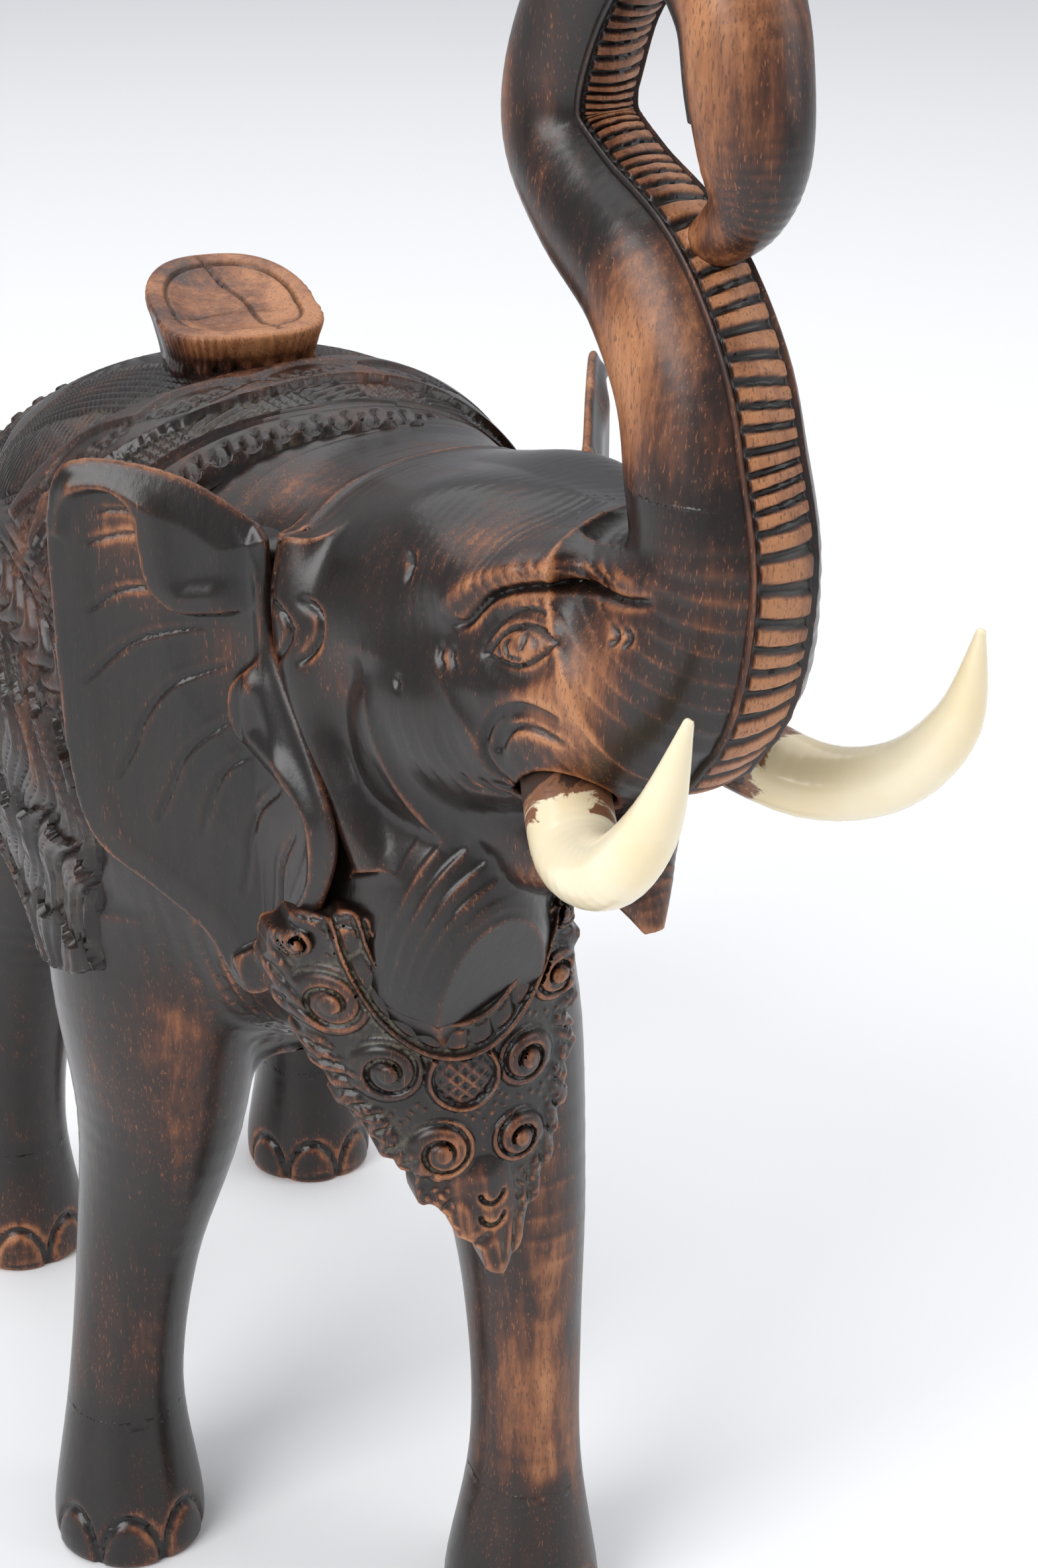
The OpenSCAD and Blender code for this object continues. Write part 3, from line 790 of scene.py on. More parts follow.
def woven(u, v, width, pitch):
    """Groups of hatching whose direction changes from group to group."""
    lean = u + 0.45 * v
    cell = np.floor(lean / width)
    a = hatch(u, v, math.radians(24), pitch)
    b = hatch(u, v, math.radians(112), pitch * 1.1)
    inside = np.abs((lean / width) % 1 - 0.5) * 2
    return np.where(cell % 2 == 0, a, b) * ramp(1 - inside, 0.0, 0.10)


def leaf_cells(u, v, pitch, tall):
    """A row of hooked leaves: 1 on a leaf, 0 in the cut under it."""
    cell = (u / pitch) % 1
    q = v / tall
    hook = np.hypot((cell - 0.42) * 1.25, (q - 0.45) * 0.9)
    cut = np.exp(-((hook - 0.36) / 0.085) ** 2) * (q < 0.72 + 0.35 * (cell - 0.5))
    return 1 - np.clip(cut, 0, 1)


def cloth_relief(u, v, hem):
    """Height of the carving and its hollows: u runs from the ridge to either hem, v from front to back."""
    a = np.abs(u)
    back = np.minimum(v, CLOTH_RUN - v)
    # bands across the back, from the front border to the seat, and the same from behind
    leaves = leaf_cells(u, back - 1.5, 7.6, 8.5)
    top = band(back, 1.4, 10.2, 0.5) * (1.3 * leaves - 0.4)
    lines = 1.2 * ridge(back, 11.2, 0.7) + 1.0 * ridge(back, 13.4, 0.5)
    weave = woven(u, back, 15, 2.5)
    top += band(back, 14.4, 22.5 + 0.05 * a, 0.4) * (1.0 * weave - 0.6)
    sway = 2.2 * np.sin(u / 13.5)
    spread_out = 6.5 + 0.05 * a
    ribbon_mid = 29.5 + 0.08 * a + sway
    off = (back - ribbon_mid) / spread_out
    inside = 1 - ramp(np.abs(off), 0.92, 1.04)
    eyes = np.abs(np.sin(u / 13.5 * 1.5 + 0.6))
    almond = np.abs(off) / (0.12 + 0.62 * eyes)
    recess = 1 - ramp(almond, 0.86, 1.0)
    gouges = leaf_cells(u * 1.05 + 3 * off, (off + 1) * 4.4, 4.6, 6.4)
    top = top * (1 - inside) + inside * (1.6 - recess * (1.9 - 1.1 * gouges))
    hatch_zone = band(back, 22.5, 300, 0.4) * (1 - inside)
    fans = woven(u * 0.9 + 9, back + 0.25 * a, 21, 2.4)
    top += hatch_zone * (1.0 * fans - 0.75) * (back > ribbon_mid)
    top += lines
    # the flank: smooth lines, a twisted cord, then hanging leaves over a plain dotted panel
    side = 1.3 * ridge(a, 75, 0.9) + 1.1 * ridge(a, 78, 0.8) + 1.2 * ridge(a, 95, 0.9)
    twist = np.abs(np.sin((v * 0.9 + 4.2 * np.sin((a - 80) / 12 * math.pi)) * math.pi / 6.6)) ** 0.7
    side += band(a, 80.2, 93.0, 0.6) * (2.0 * twist - 0.9)
    drift = v + 5.0 * np.sin(a / 15.0) + 2.0 * np.sin(a / 6.3 + v / 11)
    strand = np.abs(np.sin(math.pi * drift / 9.2))
    tips = ((a - 97 - 9 * strand + 4 * np.sin(v / 7.0)) / 31.0) % 1
    hanging = 2.6 * strand ** 0.7 * (1 - 0.75 * tips) + 0.5 * np.abs(np.sin(math.pi * drift / 2.3)) - 1.0
    front_part = 1 - ramp(v + 5 * np.sin(a / 9), 56, 58)
    panel = 0.25 - 1.0 * np.clip(np.cos(u * math.pi * 2 / 5.2) * np.cos(v * math.pi * 2 / 5.2) * 2.4 - 1.5,
                                 0, 1)
    panel += 1.2 * ridge(a, hem - 19, 0.9)
    panel = np.where(a > hem - 17.5, 0.9 * np.abs(np.sin(math.pi * a / 3.0)) - 0.2, panel)
    below = ramp(a, 95.8, 97)
    side = side * (1 - below) + below * (front_part * hanging + (1 - front_part) * panel)
    where = ramp(a, 71.5, 74)
    height = top * (1 - where) + side * where
    # the border rolls down to the body at its edges
    edge = np.minimum(back, hem - a)
    height = height - 1.9 * (1 - ramp(edge, 0.0, 1.6)) + 0.5 * ridge(edge, 2.4, 0.8)
    return height


def cloth_front(turn):
    """y of the cloth's front border at an angle round the body, from the top."""
    x = 12 + 62 * np.sin(turn)
    across = -91.5 + (x - 26) * 0.3444
    across = blend_max(across, -99.0, 8)
    return across + 12 * ramp(np.abs(turn), math.radians(85), math.radians(128))


def cloth_radius(y, turn):
    """Distance from the barrel's axis out to the body's skin, found by walking inward."""
    axis = np.stack([AXIS_X + 0 * y, y, AXIS_Z + 0 * y], 1)
    out = np.stack([np.sin(turn), 0 * turn, np.cos(turn)], 1)
    reach = np.full(len(y), 125.0)
    skin = lambda p: blend_min(blend_min(TORSO(p), DOME(p), 5),
                               np.minimum.reduce([leg(p) for leg in LEGS]), 9)
    for _ in range(34):
        reach = reach - 0.85 * skin(axis + out * reach[:, None])
    return reach


def resample(values, rows, columns):
    """Smooth values of a coarse grid at fractional rows and columns."""
    r = np.clip(rows, 0, values.shape[0] - 1.001)
    c = np.clip(columns, 0, values.shape[1] - 1.001)
    i, j = r.astype(int), c.astype(int)
    u, v = r - i, c - j
    return ((values[i, j] * (1 - u) + values[i + 1, j] * u) * (1 - v)
            + (values[i, j + 1] * (1 - u) + values[i + 1, j + 1] * u) * v)


def cloth_skin():
    """The bare skin under the cloth on a coarse grid of (row, turn), smoothed."""
    rows, columns = 64, 97
    turns = np.linspace(-HEM_TURN, HEM_TURN, columns)
    front = cloth_front(turns)
    part = np.linspace(0, 1, rows)[:, None]
    y = front[None] + (CLOTH_BACK - front[None]) * part
    turn = np.broadcast_to(turns, y.shape)
    reach = cloth_radius(y.ravel(), turn.ravel()).reshape(y.shape)
    for _ in range(3):
        padded = np.pad(reach, 1, mode="edge")
        reach = 0.5 * reach + 0.125 * (padded[2:, 1:-1] + padded[:-2, 1:-1]
                                       + padded[1:-1, 2:] + padded[1:-1, :-2])
    return reach


def end_walls(rows, columns, left, right):
    """Flat walls across both end rows of an open grid with buried edges, its columns even."""
    k = np.arange(columns // 2 - 1)
    walls = []
    for row in (0, rows - 1):
        base = row * columns
        ring = np.stack([base + k, base + k + 1, base + columns - 2 - k, base + columns - 1 - k], 1)
        foot = np.array([[base, base + columns - 1, right + row, left + row]])
        walls.extend([ring, foot] if row == 0 else [ring[:, ::-1], foot[:, ::-1]])
    return walls


def sheet_quads(rows, columns):
    """Quads of a grid closed underneath between two buried edges, listed after the grid's points."""
    i = np.arange(rows - 1)
    left, right = rows * columns, rows * columns + rows
    last = i * columns + columns - 1
    quads = [grid_quads(rows, columns, False),
             np.stack([i * columns, (i + 1) * columns, left + i + 1, left + i], 1),
             np.stack([last, right + i, right + i + 1, last + columns], 1),
             np.stack([left + i, left + i + 1, right + i + 1, right + i], 1)]
    return np.concatenate(quads + end_walls(rows, columns, left, right))


def cloth_piece(skin_grid, y_from, y_to, row_step):
    """One closed piece of the cloth between two places along the body."""
    columns = int(168 / CLOTH_STEP) * 2
    turns = np.linspace(-HEM_TURN, HEM_TURN, columns)
    front = cloth_front(turns)
    start = np.maximum(front, y_from) if y_from is not None else front
    rows = int((y_to - start.min()) / row_step) + 1
    part = np.linspace(0, 1, rows)[:, None]
    y = start[None] + (y_to - start[None]) * part
    turn = np.broadcast_to(turns, y.shape)
    where = (y - front[None]) / (CLOTH_BACK - front[None]) * (skin_grid.shape[0] - 1)
    column = (turn + HEM_TURN) / (2 * HEM_TURN) * (skin_grid.shape[1] - 1)
    reach = resample(skin_grid, where.ravel(), column.ravel()).reshape(y.shape)
    pts = np.stack([AXIS_X + reach * np.sin(turn), y, AXIS_Z + reach * np.cos(turn)], -1)
    gap = np.linalg.norm(np.diff(pts, axis=1), axis=2)
    run = np.concatenate([np.zeros((rows, 1)), np.cumsum(gap, axis=1)], 1)
    run -= run[:, [columns // 2]]
    hem = np.where(turn < 0, -run[:, [0]], run[:, [-1]])
    v = (y - front[None]) * CLOTH_RUN / (CLOTH_BACK - front[None])
    height = cloth_relief(run.ravel(), v.ravel(), hem.ravel()).reshape(y.shape)
    normal = unit(np.cross(np.gradient(pts, axis=1), np.gradient(pts, axis=0)))
    lifted = pts + normal * (CLOTH_LIFT + CLOTH_RELIEF * height)[:, :, None]
    # the underside runs straight across inside the body
    sunk = pts - normal * CLOTH_SUNK
    verts = np.concatenate([lifted.reshape(-1, 3), sunk[:, 0], sunk[:, -1]])
    return verts, sheet_quads(rows, columns), np.concatenate([height.ravel(), np.zeros(2 * rows)])


# ---- Ribbed strip up the front of the trunk -------------------------------------------------------------

RIB_PITCH = 3.7
RIB_FROM, RIB_TO = 14.0, 262.0     # along the trunk's centre line


def rib_strip_points():
    across = 60
    step = 0.42 * GRAIN
    runs = np.arange(RIB_FROM, RIB_TO, step)
    columns = [np.interp(runs, TRUNK.run, values) for values in
               (*TRUNK.centre.T, *TRUNK.side.T, *TRUNK.deep.T, *TRUNK.half.T)]
    centre, side, deep = (np.stack(columns[i:i + 3], 1) for i in (0, 3, 6))
    half_w, half_d = columns[9], columns[10]
    width = np.interp(runs, [RIB_FROM, 30, 120, 200, RIB_TO], [8.8, 9.2, 8.2, 7.4, 6.8])
    a = np.linspace(-1, 1, across)
    turn = np.arcsin(np.clip(width / half_w, 0, 0.95))[:, None] * a[None]
    pts = (centre[:, None] + side[:, None] * (half_w[:, None] * np.sin(turn))[..., None]
           - deep[:, None] * (half_d[:, None] * np.cos(turn))[..., None])
    normal = unit(np.cross(np.gradient(pts, axis=0), np.gradient(pts, axis=1)))
    inward = (normal * deep[:, None]).sum(-1) > 0
    normal[inward] *= -1
    buried = head_masses(pts.reshape(-1, 3)).reshape(pts.shape[:2])
    pts = pts + normal * np.clip(-buried, 0, 6)[..., None]
    run = runs[:, None] + 0 * a[None]
    wander = run + 0.5 * np.sin(run * 0.31) + 0.35 * a * np.sin(run * 0.17) * 3
    phase = np.abs(np.sin(math.pi * wander / RIB_PITCH))
    rib = ramp(phase, 0.30, 0.72) * (1 - 0.35 * np.abs(a) ** 3)
    aside = np.abs(a)[None] + 0 * run
    inner = band(aside, -1, 0.72, 0.03)
    border = ridge(aside, 0.88, 0.075)
    height = 0.1 + 1.15 * rib * inner + 1.45 * border
    height -= 3.2 * ramp(aside, 0.955, 1.0)
    ends = np.minimum(run - RIB_FROM, RIB_TO - run)
    height -= 3.0 * (1 - ramp(ends, 0, 2.0))
    top = pts + normal * height[..., None]
    rows, count = top.shape[:2]
    verts = np.concatenate([top.reshape(-1, 3), (pts[:, 0] - normal[:, 0] * 5),
                            (pts[:, -1] - normal[:, -1] * 5)])
    # the grooves between the ribs take the cut mark: painted shade
    cut = np.concatenate([((1 - rib) * inner * 0.9).ravel(), np.zeros(2 * rows)])
    proud = np.concatenate([(rib * inner + border * 0.4).ravel(), np.zeros(2 * rows)])
    return verts, sheet_quads(rows, count), cut, proud


# ---- Finishes -----------------------------------------------------------------------------------------

class Shader:
    """Short ways to add and join shader nodes."""

    def __init__(self, name):
        self.material = bpy.data.materials.new(name)
        self.material.use_nodes = True
        self.nodes = self.material.node_tree.nodes
        self.links = self.material.node_tree.links
        self.surface = self.nodes["Principled BSDF"]
        self.place = self.nodes.new("ShaderNodeTexCoord").outputs["Object"]

    def feed(self, socket, value):
        """Joins an output to a socket, or sets the socket to a constant."""
        if hasattr(value, "is_output"):
            self.links.new(value, socket)
        else:
            socket.default_value = (*value, 1) if socket.type == "RGBA" else value

    def add(self, kind, **inputs):
        node = self.nodes.new(kind)
        for name, value in inputs.items():
            self.feed(node.inputs[name], value)
        return node

    def math(self, operation, a, b=0.0, clamp=False):
        node = self.nodes.new("ShaderNodeMath")
        node.operation = operation
        node.use_clamp = clamp
        for socket, value in zip(node.inputs, (a, b)):
            self.feed(socket, value)
        return node.outputs[0]

    def sway(self, level, value, amount):
        """Raises or lowers a level by how far a noise lies from one half."""
        swing = self.math("MULTIPLY", self.math("SUBTRACT", value, 0.5), amount)
        return self.math("ADD", level, swing)

    def ramp(self, value, low, high, a=0.0, b=1.0):
        node = self.nodes.new("ShaderNodeMapRange")
        node.interpolation_type = "SMOOTHSTEP"
        self.links.new(value, node.inputs[0])
        for socket, number in zip(list(node.inputs)[1:5], (low, high, a, b)):
            socket.default_value = number
        return node.outputs[0]

    def mix(self, part, a, b):
        node = self.nodes.new("ShaderNodeMix")
        node.data_type = "RGBA"
        for index, value in zip((0, 6, 7), (part, a, b)):
            self.feed(node.inputs[index], value)
        return node.outputs[2]

    def noise(self, scale, stretch=(1, 1, 1), detail=3.0, rough=0.55, twist=0.0):
        mapping = self.nodes.new("ShaderNodeMapping")
        mapping.inputs["Scale"].default_value = stretch
        self.links.new(self.place, mapping.inputs["Vector"])
        node = self.add("ShaderNodeTexNoise", Vector=mapping.outputs[0], Scale=scale, Detail=detail,
                        Roughness=rough, Distortion=twist)
        return node.outputs[0]

    def mark(self, name):
        node = self.nodes.new("ShaderNodeAttribute")
        node.attribute_name = name
        return node.outputs["Fac"]

    def bump(self, height, strength, distance, under=None):
        node = self.add("ShaderNodeBump", Height=height, Strength=strength, Distance=distance)
        if under is not None:
            self.links.new(under, node.inputs["Normal"])
        return node.outputs[0]

    def join(self, value, name):
        self.links.new(value, self.surface.inputs[name])


def lacquered_wood(name, bare, dusty, gloss):
    """Near-black lacquer over an orange-brown wood, rubbed through where it is handled, with real dust and
    painted shade in its carved hollows.
    """
    sh = Shader(name)
    patches = sh.noise(16, (1, 1, 0.7), detail=4, rough=0.62, twist=0.4)
    streaks = sh.noise(60, (1, 1, 0.17), detail=4, rough=0.68)
    fine = sh.noise(520, (1, 1, 0.13), detail=3, rough=0.65)
    pores = sh.noise(2300, (1, 1, 0.2), detail=1, rough=0.5)
    edge = sh.mark("proud")
    cut = sh.mark("cut")
    worn = sh.mark("worn")
    level = sh.math("MULTIPLY", worn, 0.50)
    for noise, amount in ((patches, 1.25), (streaks, 1.15), (fine, 0.45)):
        level = sh.sway(level, noise, amount)
    level = sh.math("ADD", level, sh.math("MULTIPLY", edge, 0.52))
    level = sh.math("ADD", level, bare, clamp=True)
    ramp = sh.nodes.new("ShaderNodeValToRGB")
    stops = [(0.0, (0.0062, 0.0042, 0.0038)), (0.28, (0.0125, 0.0068, 0.0052)),
             (0.46, (0.030, 0.0105, 0.0060)), (0.60, (0.085, 0.027, 0.0105)),
             (0.76, (0.22, 0.080, 0.030)), (1.0, (0.42, 0.18, 0.075))]
    while len(ramp.color_ramp.elements) < len(stops):
        ramp.color_ramp.elements.new(0.5)
    for element, (at, colour) in zip(ramp.color_ramp.elements, stops):
        element.position = at
        element.color = (*colour, 1)
    sh.links.new(level, ramp.inputs[0])
    colour = ramp.outputs[0]
    fleck = sh.math("MULTIPLY", sh.ramp(pores, 0.63, 0.72), sh.ramp(level, 0.16, 0.55, 0.06, 0.7))
    colour = sh.mix(fleck, colour, (0.26, 0.10, 0.040))
    dark_pore = sh.math("MULTIPLY", sh.ramp(pores, 0.42, 0.33), sh.ramp(level, 0.4, 0.8, 0.0, 0.55))
    colour = sh.mix(dark_pore, colour, (0.035, 0.013, 0.007))
    grit = sh.noise(800, detail=2)
    # painted shade: the cut mark (carved hollows, lines and grooves) darkens the colour to near-black,
    # below the lacquer's own darkest tone
    colour = sh.mix(sh.math("MULTIPLY", cut, 0.9, clamp=True), colour, (0.0045, 0.0026, 0.0020))
    drift = sh.noise(42, detail=3)
    # real dust settles in the same hollows
    dust = sh.math("MULTIPLY", cut, sh.ramp(drift, 0.46, 0.64, 0.0, dusty), clamp=True)
    dust = sh.math("MULTIPLY", dust, sh.ramp(grit, 0.36, 0.58, 0.2, 1.0))
    colour = sh.mix(dust, colour, (0.16, 0.135, 0.09))
    sh.join(colour, "Base Color")
    rough = sh.math("ADD", sh.ramp(level, 0.2, 0.8, gloss, gloss + 0.16), sh.math("MULTIPLY", dust, 0.4))
    sh.join(sh.sway(rough, streaks, 0.16), "Roughness")
    sh.surface.inputs["Specular IOR Level"].default_value = 0.46
    sh.surface.inputs["Coat Weight"].default_value = 0.12
    sh.surface.inputs["Coat Roughness"].default_value = 0.2
    grain = sh.bump(fine, 0.16, 0.0004)
    chisel = sh.bump(sh.noise(120, (1, 1, 0.35), detail=2), 0.10, 0.0012, grain)
    sh.join(sh.bump(grit, 0.08, 0.0003, chisel), "Normal")
    return sh.material


def ivory_coloured(name):
    """Cream bone with brown stain drawn out in streaks from the root."""
    sh = Shader(name)
    root = sh.mark("cut")
    cloud = sh.noise(26, detail=3)
    colour = sh.mix(sh.ramp(cloud, 0.35, 0.65), (0.86, 0.77, 0.56), (0.83, 0.69, 0.43))
    smear = sh.noise(95, (0.6, 1, 0.6), detail=5, rough=0.7, twist=1.2)
    stain = sh.math("ADD", sh.math("MULTIPLY", root, 0.62), sh.math("SUBTRACT", smear, 0.66))
    colour = sh.mix(sh.ramp(stain, 0.22, 0.30), colour, (0.23, 0.10, 0.05))
    colour = sh.mix(sh.ramp(stain, 0.36, 0.44), colour, (0.045, 0.022, 0.014))
    sh.join(colour, "Base Color")
    sh.join(sh.ramp(stain, 0.2, 0.4, 0.24, 0.5), "Roughness")
    sh.surface.inputs["Subsurface Weight"].default_value = 0.25
    sh.surface.inputs["Subsurface Radius"].default_value = (0.006, 0.004, 0.002)
    sh.surface.inputs["Coat Weight"].default_value = 0.3
    sh.surface.inputs["Coat Roughness"].default_value = 0.12
    sh.join(sh.bump(sh.noise(220, (1, 1, 0.3), detail=2), 0.05, 0.0004), "Normal")
    return sh.material


def plain_dowel(name):
    sh = Shader(name)
    rings = sh.noise(260, (1, 1, 0.12), detail=3)
    sh.join(sh.mix(rings, (0.42, 0.27, 0.14), (0.58, 0.40, 0.23)), "Base Color")
    sh.join(sh.ramp(rings, 0.2, 0.8, 0.5, 0.7), "Roughness")
    sh.join(sh.bump(rings, 0.2, 0.0003), "Normal")
    return sh.material


DARK = lacquered_wood("dark_lacquered_wood", 0.07, 0.10, 0.29)
CARVED = lacquered_wood("carved_lacquered_wood", 0.24, 0.85, 0.31)
RIBBED = lacquered_wood("ribbed_lacquered_wood", 0.16, 0.12, 0.38)
SEAT_WOOD = lacquered_wood("worn_seat_wood", 0.48, 0.5, 0.32)
BONE = ivory_coloured("cream_bone")
DOWEL = plain_dowel("pale_dowel_wood")
for node_name in ("neck_dowels", "seat_dowels", "right_ear_dowels", "left_ear_dowels", "ornament_pegs"):
    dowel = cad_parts[node_name]
    dowel.data.materials.clear()
    dowel.data.materials.append(DOWEL)

# ---- Pieces -------------------------------------------------------------------------------------------

# Where the finish is rubbed through: [x, y, z, radius, strength], those on the head in its own frame
BODY_WEAR = [[-40, -75, 60, 26, 0.5], [-44, -85, 15, 18, 0.5], [52, -145, 60, 30, 0.6],
             [48, -152, 10, 20, 0.5], [-46, -92, 150, 24, 0.6], [50, 92, 10, 26, 0.5],
             [-55, 70, 12, 26, 0.7], [-62, 95, 60, 22, 0.4], [55, -130, 110, 22, 0.5],
             [-30, -90, 175, 18, 0.4], [20, -160, 190, 26, 0.3], [60, 120, 40, 24, 0.5],
             [0, 140, 200, 36, 0.4], [-60, 20, 160, 24, 0.3]]
HEAD_WEAR = head_rows([[100, -32, 290, 16, 0.7], [110, -26, 300, 17, 0.5], [88, -26, 322, 16, 0.75],
                       [6, -26, 308, 14, 0.8], [70, -24, 318, 12, 0.45], [42, -40, 280, 10, 0.8],
                       [30, -38, 240, 22, 0.55], [92, -22, 240, 16, 0.9], [105, 10, 250, 20, 0.5],
                       [60, -36, 240, 12, 0.4], [126, -22, 326, 16, 0.4], [110, 30, 300, 20, 0.6]])
TRUNK_WEAR = head_rows([[104, -18, 366, 22, 0.85], [92, -18, 352, 18, 0.6], [116, -20, 344, 16, 0.55],
                        [60, -12, 404, 20, 0.7], [130, -10, 418, 22, 1.0], [122, -12, 440, 20, 0.9],
                        [96, -12, 455, 22, 0.9], [118, -8, 392, 14, 0.7], [66, 12, 430, 22, 0.7],
                        [110, 20, 350, 22, 0.6]])
FULL_MARK = 0.22      # a hollow this deep is fully darkened as painted shade (and dusted), and an edge this proud is all rubbed


def solid_piece(name, shape, box, step, nodes, material, patches, cut=None, reach=1.2,
                levels=4, slack=1.9, seam=None):
    verts, quads = solid_mesh(shape, box[0], box[1], step, levels, slack)
    depth = hollow(verts, quads, step, reach)
    if seam is not None:      # a cut edge inside the wood is neither rubbed, dusty nor darkened with painted shade
        depth = depth * ramp(np.abs(verts[:, 2] - seam), 3.5, 7)
    deep = np.clip(depth / FULL_MARK, 0, 1)
    proud = np.clip(-depth / FULL_MARK, 0, 1)
    given = cut(verts) if cut else np.zeros(len(verts))
    # cut: hollows and cut lines, which the lacquered finishes darken to near-black as painted shade and
    # dust (the bone finish reads it as root stain); proud: raised edges, shown rubbed
    marks = {"cut": np.maximum(deep * 0.8, given), "proud": proud,
             "worn": wear_patches(verts, patches)}
    return add_piece(name, verts, quads, nodes, material, marks)


def face_cut(verts):
    s, w, z = to_head(verts)
    return face_relief(s, w, z)[1] * 0.7


def clipped(shape, level, above):
    """The part of a solid above or below a level, with room to overlap its neighbour."""
    sign = 1 if above else -1
    return lambda p: np.maximum(shape(p), sign * (level - p[:, 2]))


body_low, body_high = figure_box("body_block")
ANKLE = 40.0
solid_piece("body_log", clipped(body_shape, ANKLE - 2, True),
            ((body_low[0], body_low[1] - 10, ANKLE - 8), body_high), BODY_STEP,
            ["body_block"], DARK, BODY_WEAR, reach=1.6, slack=2.5, seam=ANKLE)


def toe_cuts(p):
    """Nail arcs round the front of each foot, and how deep each point lies in one."""
    depth = np.zeros(len(p))
    line = np.zeros(len(p))
    for leg in LEGS:
        x, y = leg.centre[1][:2]
        turn = np.arctan2(p[:, 0] - x, -(p[:, 1] - y))
        near = np.hypot(p[:, 0] - x, p[:, 1] - y) < 34
        for at in (-1.05, -0.2, 0.65):
            across = (turn - at) * 21
            nail = np.hypot(across / 8.2, np.maximum(p[:, 2] - 2, 0) / 12.5)
            arc = np.exp(-((nail - 1) / 0.10) ** 2) * near * (p[:, 2] > 1)
            swell = np.sqrt(np.clip(1 - nail ** 2, 0, 1)) * near
            depth += 1.1 * arc - 0.9 * swell
            line = np.maximum(line, arc)
    return depth, line


def foot_shape(p):
    d = np.minimum.reduce([leg(p) for leg in LEGS]) + toe_cuts(p)[0]
    sole = blend_max(d, -p[:, 2], 1.8)
    return np.maximum(sole, p[:, 2] - (ANKLE + 2))


solid_piece("feet", foot_shape,
            ((body_low[0], body_low[1] - 10, -3), (body_high[0], body_high[1], ANKLE + 6)), FOOT_STEP,
            ["body_block"], DARK, BODY_WEAR,
            cut=lambda v: toe_cuts(v)[1] * 0.5, reach=1.4, seam=ANKLE)

skin_grid = cloth_skin()
for name, y_from, y_to, row_step in (("saddle_cloth_front", None, CLOTH_SPLIT + 0.6, CLOTH_STEP),
                                     ("saddle_cloth_back", CLOTH_SPLIT, CLOTH_BACK, CLOTH_STEP * 1.5)):
    verts, quads, height = cloth_piece(skin_grid, y_from, y_to, row_step)
    # the relief's low parts take the cut mark: painted shade and dust
    low_part = np.clip((0.15 - height) / 0.9, 0, 1)
    high_part = np.clip((height - 0.7) / 1.2, 0, 1)
    add_piece(name, verts, quads, ["body_block"], CARVED,
              {"cut": low_part * 0.75, "proud": high_part * 0.3, "worn": 0 * height})

head_low, head_high = figure_box("head_block")
NECK_CUT = 336.0
in_head = lambda p: np.maximum(head_shape(p), joint_gap(p) - 3)
solid_piece("head", clipped(in_head, NECK_CUT + 1.5, False),
            (head_low, (head_high[0], head_high[1], NECK_CUT + 6)), HEAD_STEP, ["head_block"],
            DARK, HEAD_WEAR, cut=face_cut, slack=2.6, seam=NECK_CUT)
in_trunk = lambda p: head_masses(p) + 0.3 * (p[:, 2] < NECK_CUT)
solid_piece("trunk", clipped(in_trunk, NECK_CUT - 1.5, True),
            ((head_low[0], head_low[1], NECK_CUT - 6), head_high),
            TRUNK_STEP, ["head_block"], DARK, TRUNK_WEAR, seam=NECK_CUT)
verts, quads, cut, proud = rib_strip_points()
add_piece("trunk_ribs", verts, quads, ["head_block"], RIBBED,
          {"cut": cut, "proud": proud, "worn": 0.5 * proud})

for hand, name in ((-1, "right_ear"), (1, "left_ear")):
    def ear_cut(v, hand=hand):
        return ear_parts(v, hand)[-1] * 0.35
    patches = head_rows([[-9, hand * 64, 306, 9, 1.4], [-7, hand * 62, 290, 9, 1.0],
                         [12, hand * 52, 281, 9, 1.0], [28, hand * 47, 240, 12, 0.5],
                         [-2, hand * 60, 318, 8, 0.5], [8, hand * 50, 268, 8, 0.5]])
    solid_piece(name, ear_shape(hand), figure_box(name), EAR_STEP, [name], DARK, patches,
                cut=ear_cut)

solid_piece("chest_ornament", ornament_shape, figure_box("chest_ornament"), ORNAMENT_STEP,
            ["chest_ornament"], CARVED, [], reach=1.0)

verts, quads, cut = seat_piece_points()
seat_worn = ramp(verts[:, 2] + (verts[:, 1] + 30) * -0.2, 328, 336)
add_piece("seat", verts, quads, ["seat"], SEAT_WOOD,
          {"cut": cut * 0.7, "proud": 0 * cut, "worn": seat_worn * 0.75})

for hand, name in ((-1, "right_tusk"), (1, "left_tusk")):
    root = head_point(90, hand * 19, 270)
    solid_piece(name, TUSKS[hand], figure_box(name), TUSK_STEP, [name], BONE, [],
                cut=lambda v, root=root: 1 - ramp(np.linalg.norm(v - root, axis=1), 12, 34))

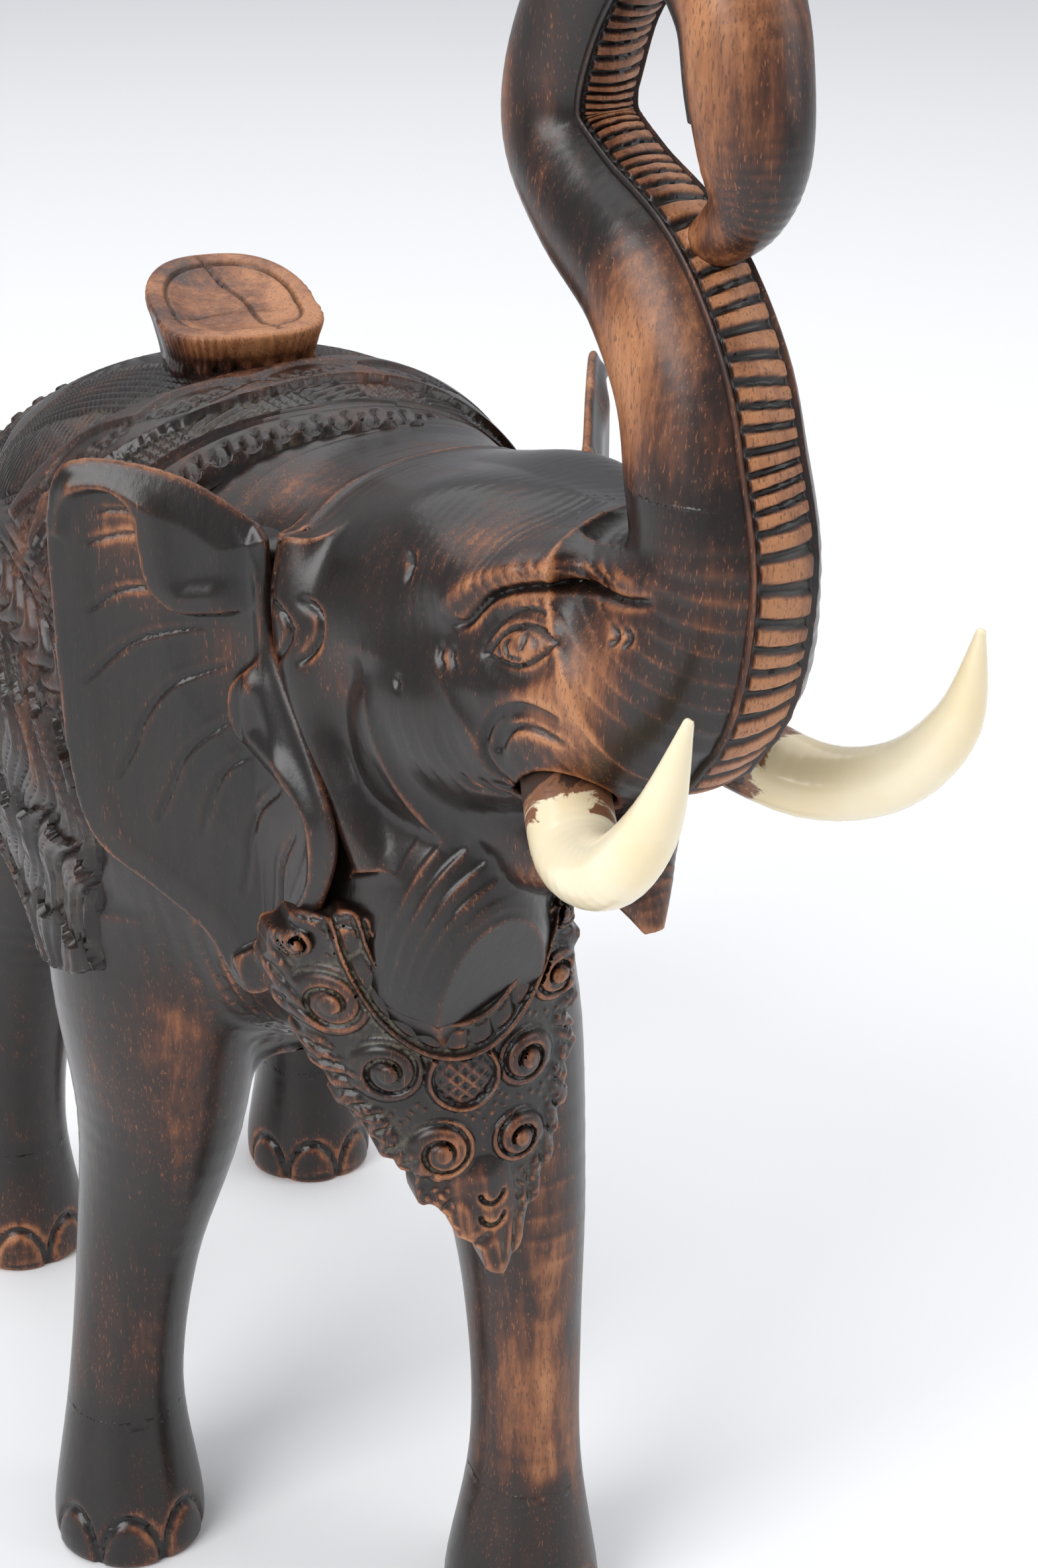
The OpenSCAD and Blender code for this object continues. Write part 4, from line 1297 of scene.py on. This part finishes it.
solid_piece("tail", TAIL, figure_box("tail"), TUSK_STEP, ["tail"], DARK,
            [[4, 150, 172, 30, 0.4]])
PLUG = Limb(head_rows([[68, 0, 412, 2.4, 2.4], [80.4, 0, 412, 2.4, 2.4]]), LEFT)
plug_low, plug_high = figure_box("trunk_plug")
solid_piece("trunk_plug", lambda p: PLUG(p) - 0.1, (plug_low - 8, plug_high + 8), PLUG_STEP,
            ["trunk_plug"], DARK, [], levels=3)

# ---- Floor, light and camera ----------------------------------------------------------------------------

def flat_finish(name, colour):
    sh = Shader(name)
    cloud = sh.noise(1.5, detail=2)
    sh.join(sh.mix(cloud, colour, tuple(c * 0.985 for c in colour)), "Base Color")
    sh.surface.inputs["Roughness"].default_value = 0.55
    return sh.material


bpy.ops.mesh.primitive_plane_add(size=16, location=(0, 3, 0))
floor = bpy.context.object
floor.name = "floor"
floor.data.materials.append(flat_finish("pale_paper", (0.93, 0.935, 0.945)))


def softbox(name, at, target, size, power):
    light = bpy.data.lights.new(name, "AREA")
    light.shape = "RECTANGLE"
    light.size, light.size_y = size
    light.energy = power
    lamp = bpy.data.objects.new(name, light)
    bpy.context.scene.collection.objects.link(lamp)
    lamp.location = at
    lamp.rotation_euler = (Vector(target) - Vector(at)).to_track_quat("-Z", "Y").to_euler()


# Name, place, target, size in metres and power in watts
for row in (("key_left", (-1.5, -0.9, 1.5), (0, 0, 0.25), (1.2, 1.6), 33),
            ("fill_right", (1.7, -0.9, 1.1), (0, 0, 0.25), (1.2, 1.4), 10),
            ("top", (0.1, 0.9, 2.2), (0, 0.6, 0.0), (3.2, 2.6), 36)):
    softbox(*row)

world = bpy.data.worlds.new("studio")
world.use_nodes = True
world.node_tree.nodes["Background"].inputs["Color"].default_value = (0.93, 0.95, 1.0, 1)
world.node_tree.nodes["Background"].inputs["Strength"].default_value = 0.50
bpy.context.scene.world = world
bpy.context.scene.view_settings.view_transform = "Standard"

lens = bpy.data.cameras.new("camera")
SENSOR = 36                              # millimetres, along the picture's long side
lens.lens = 4400 / 2368 * SENSOR         # focal length over the picture's height
lens.sensor_width = SENSOR
camera = bpy.data.objects.new("camera", lens)
bpy.context.scene.collection.objects.link(camera)
camera.location = metres((-150.9, -730.6, 520.0))
camera.rotation_euler = (math.radians(66), 0, math.radians(-18.3))
bpy.context.scene.camera = camera
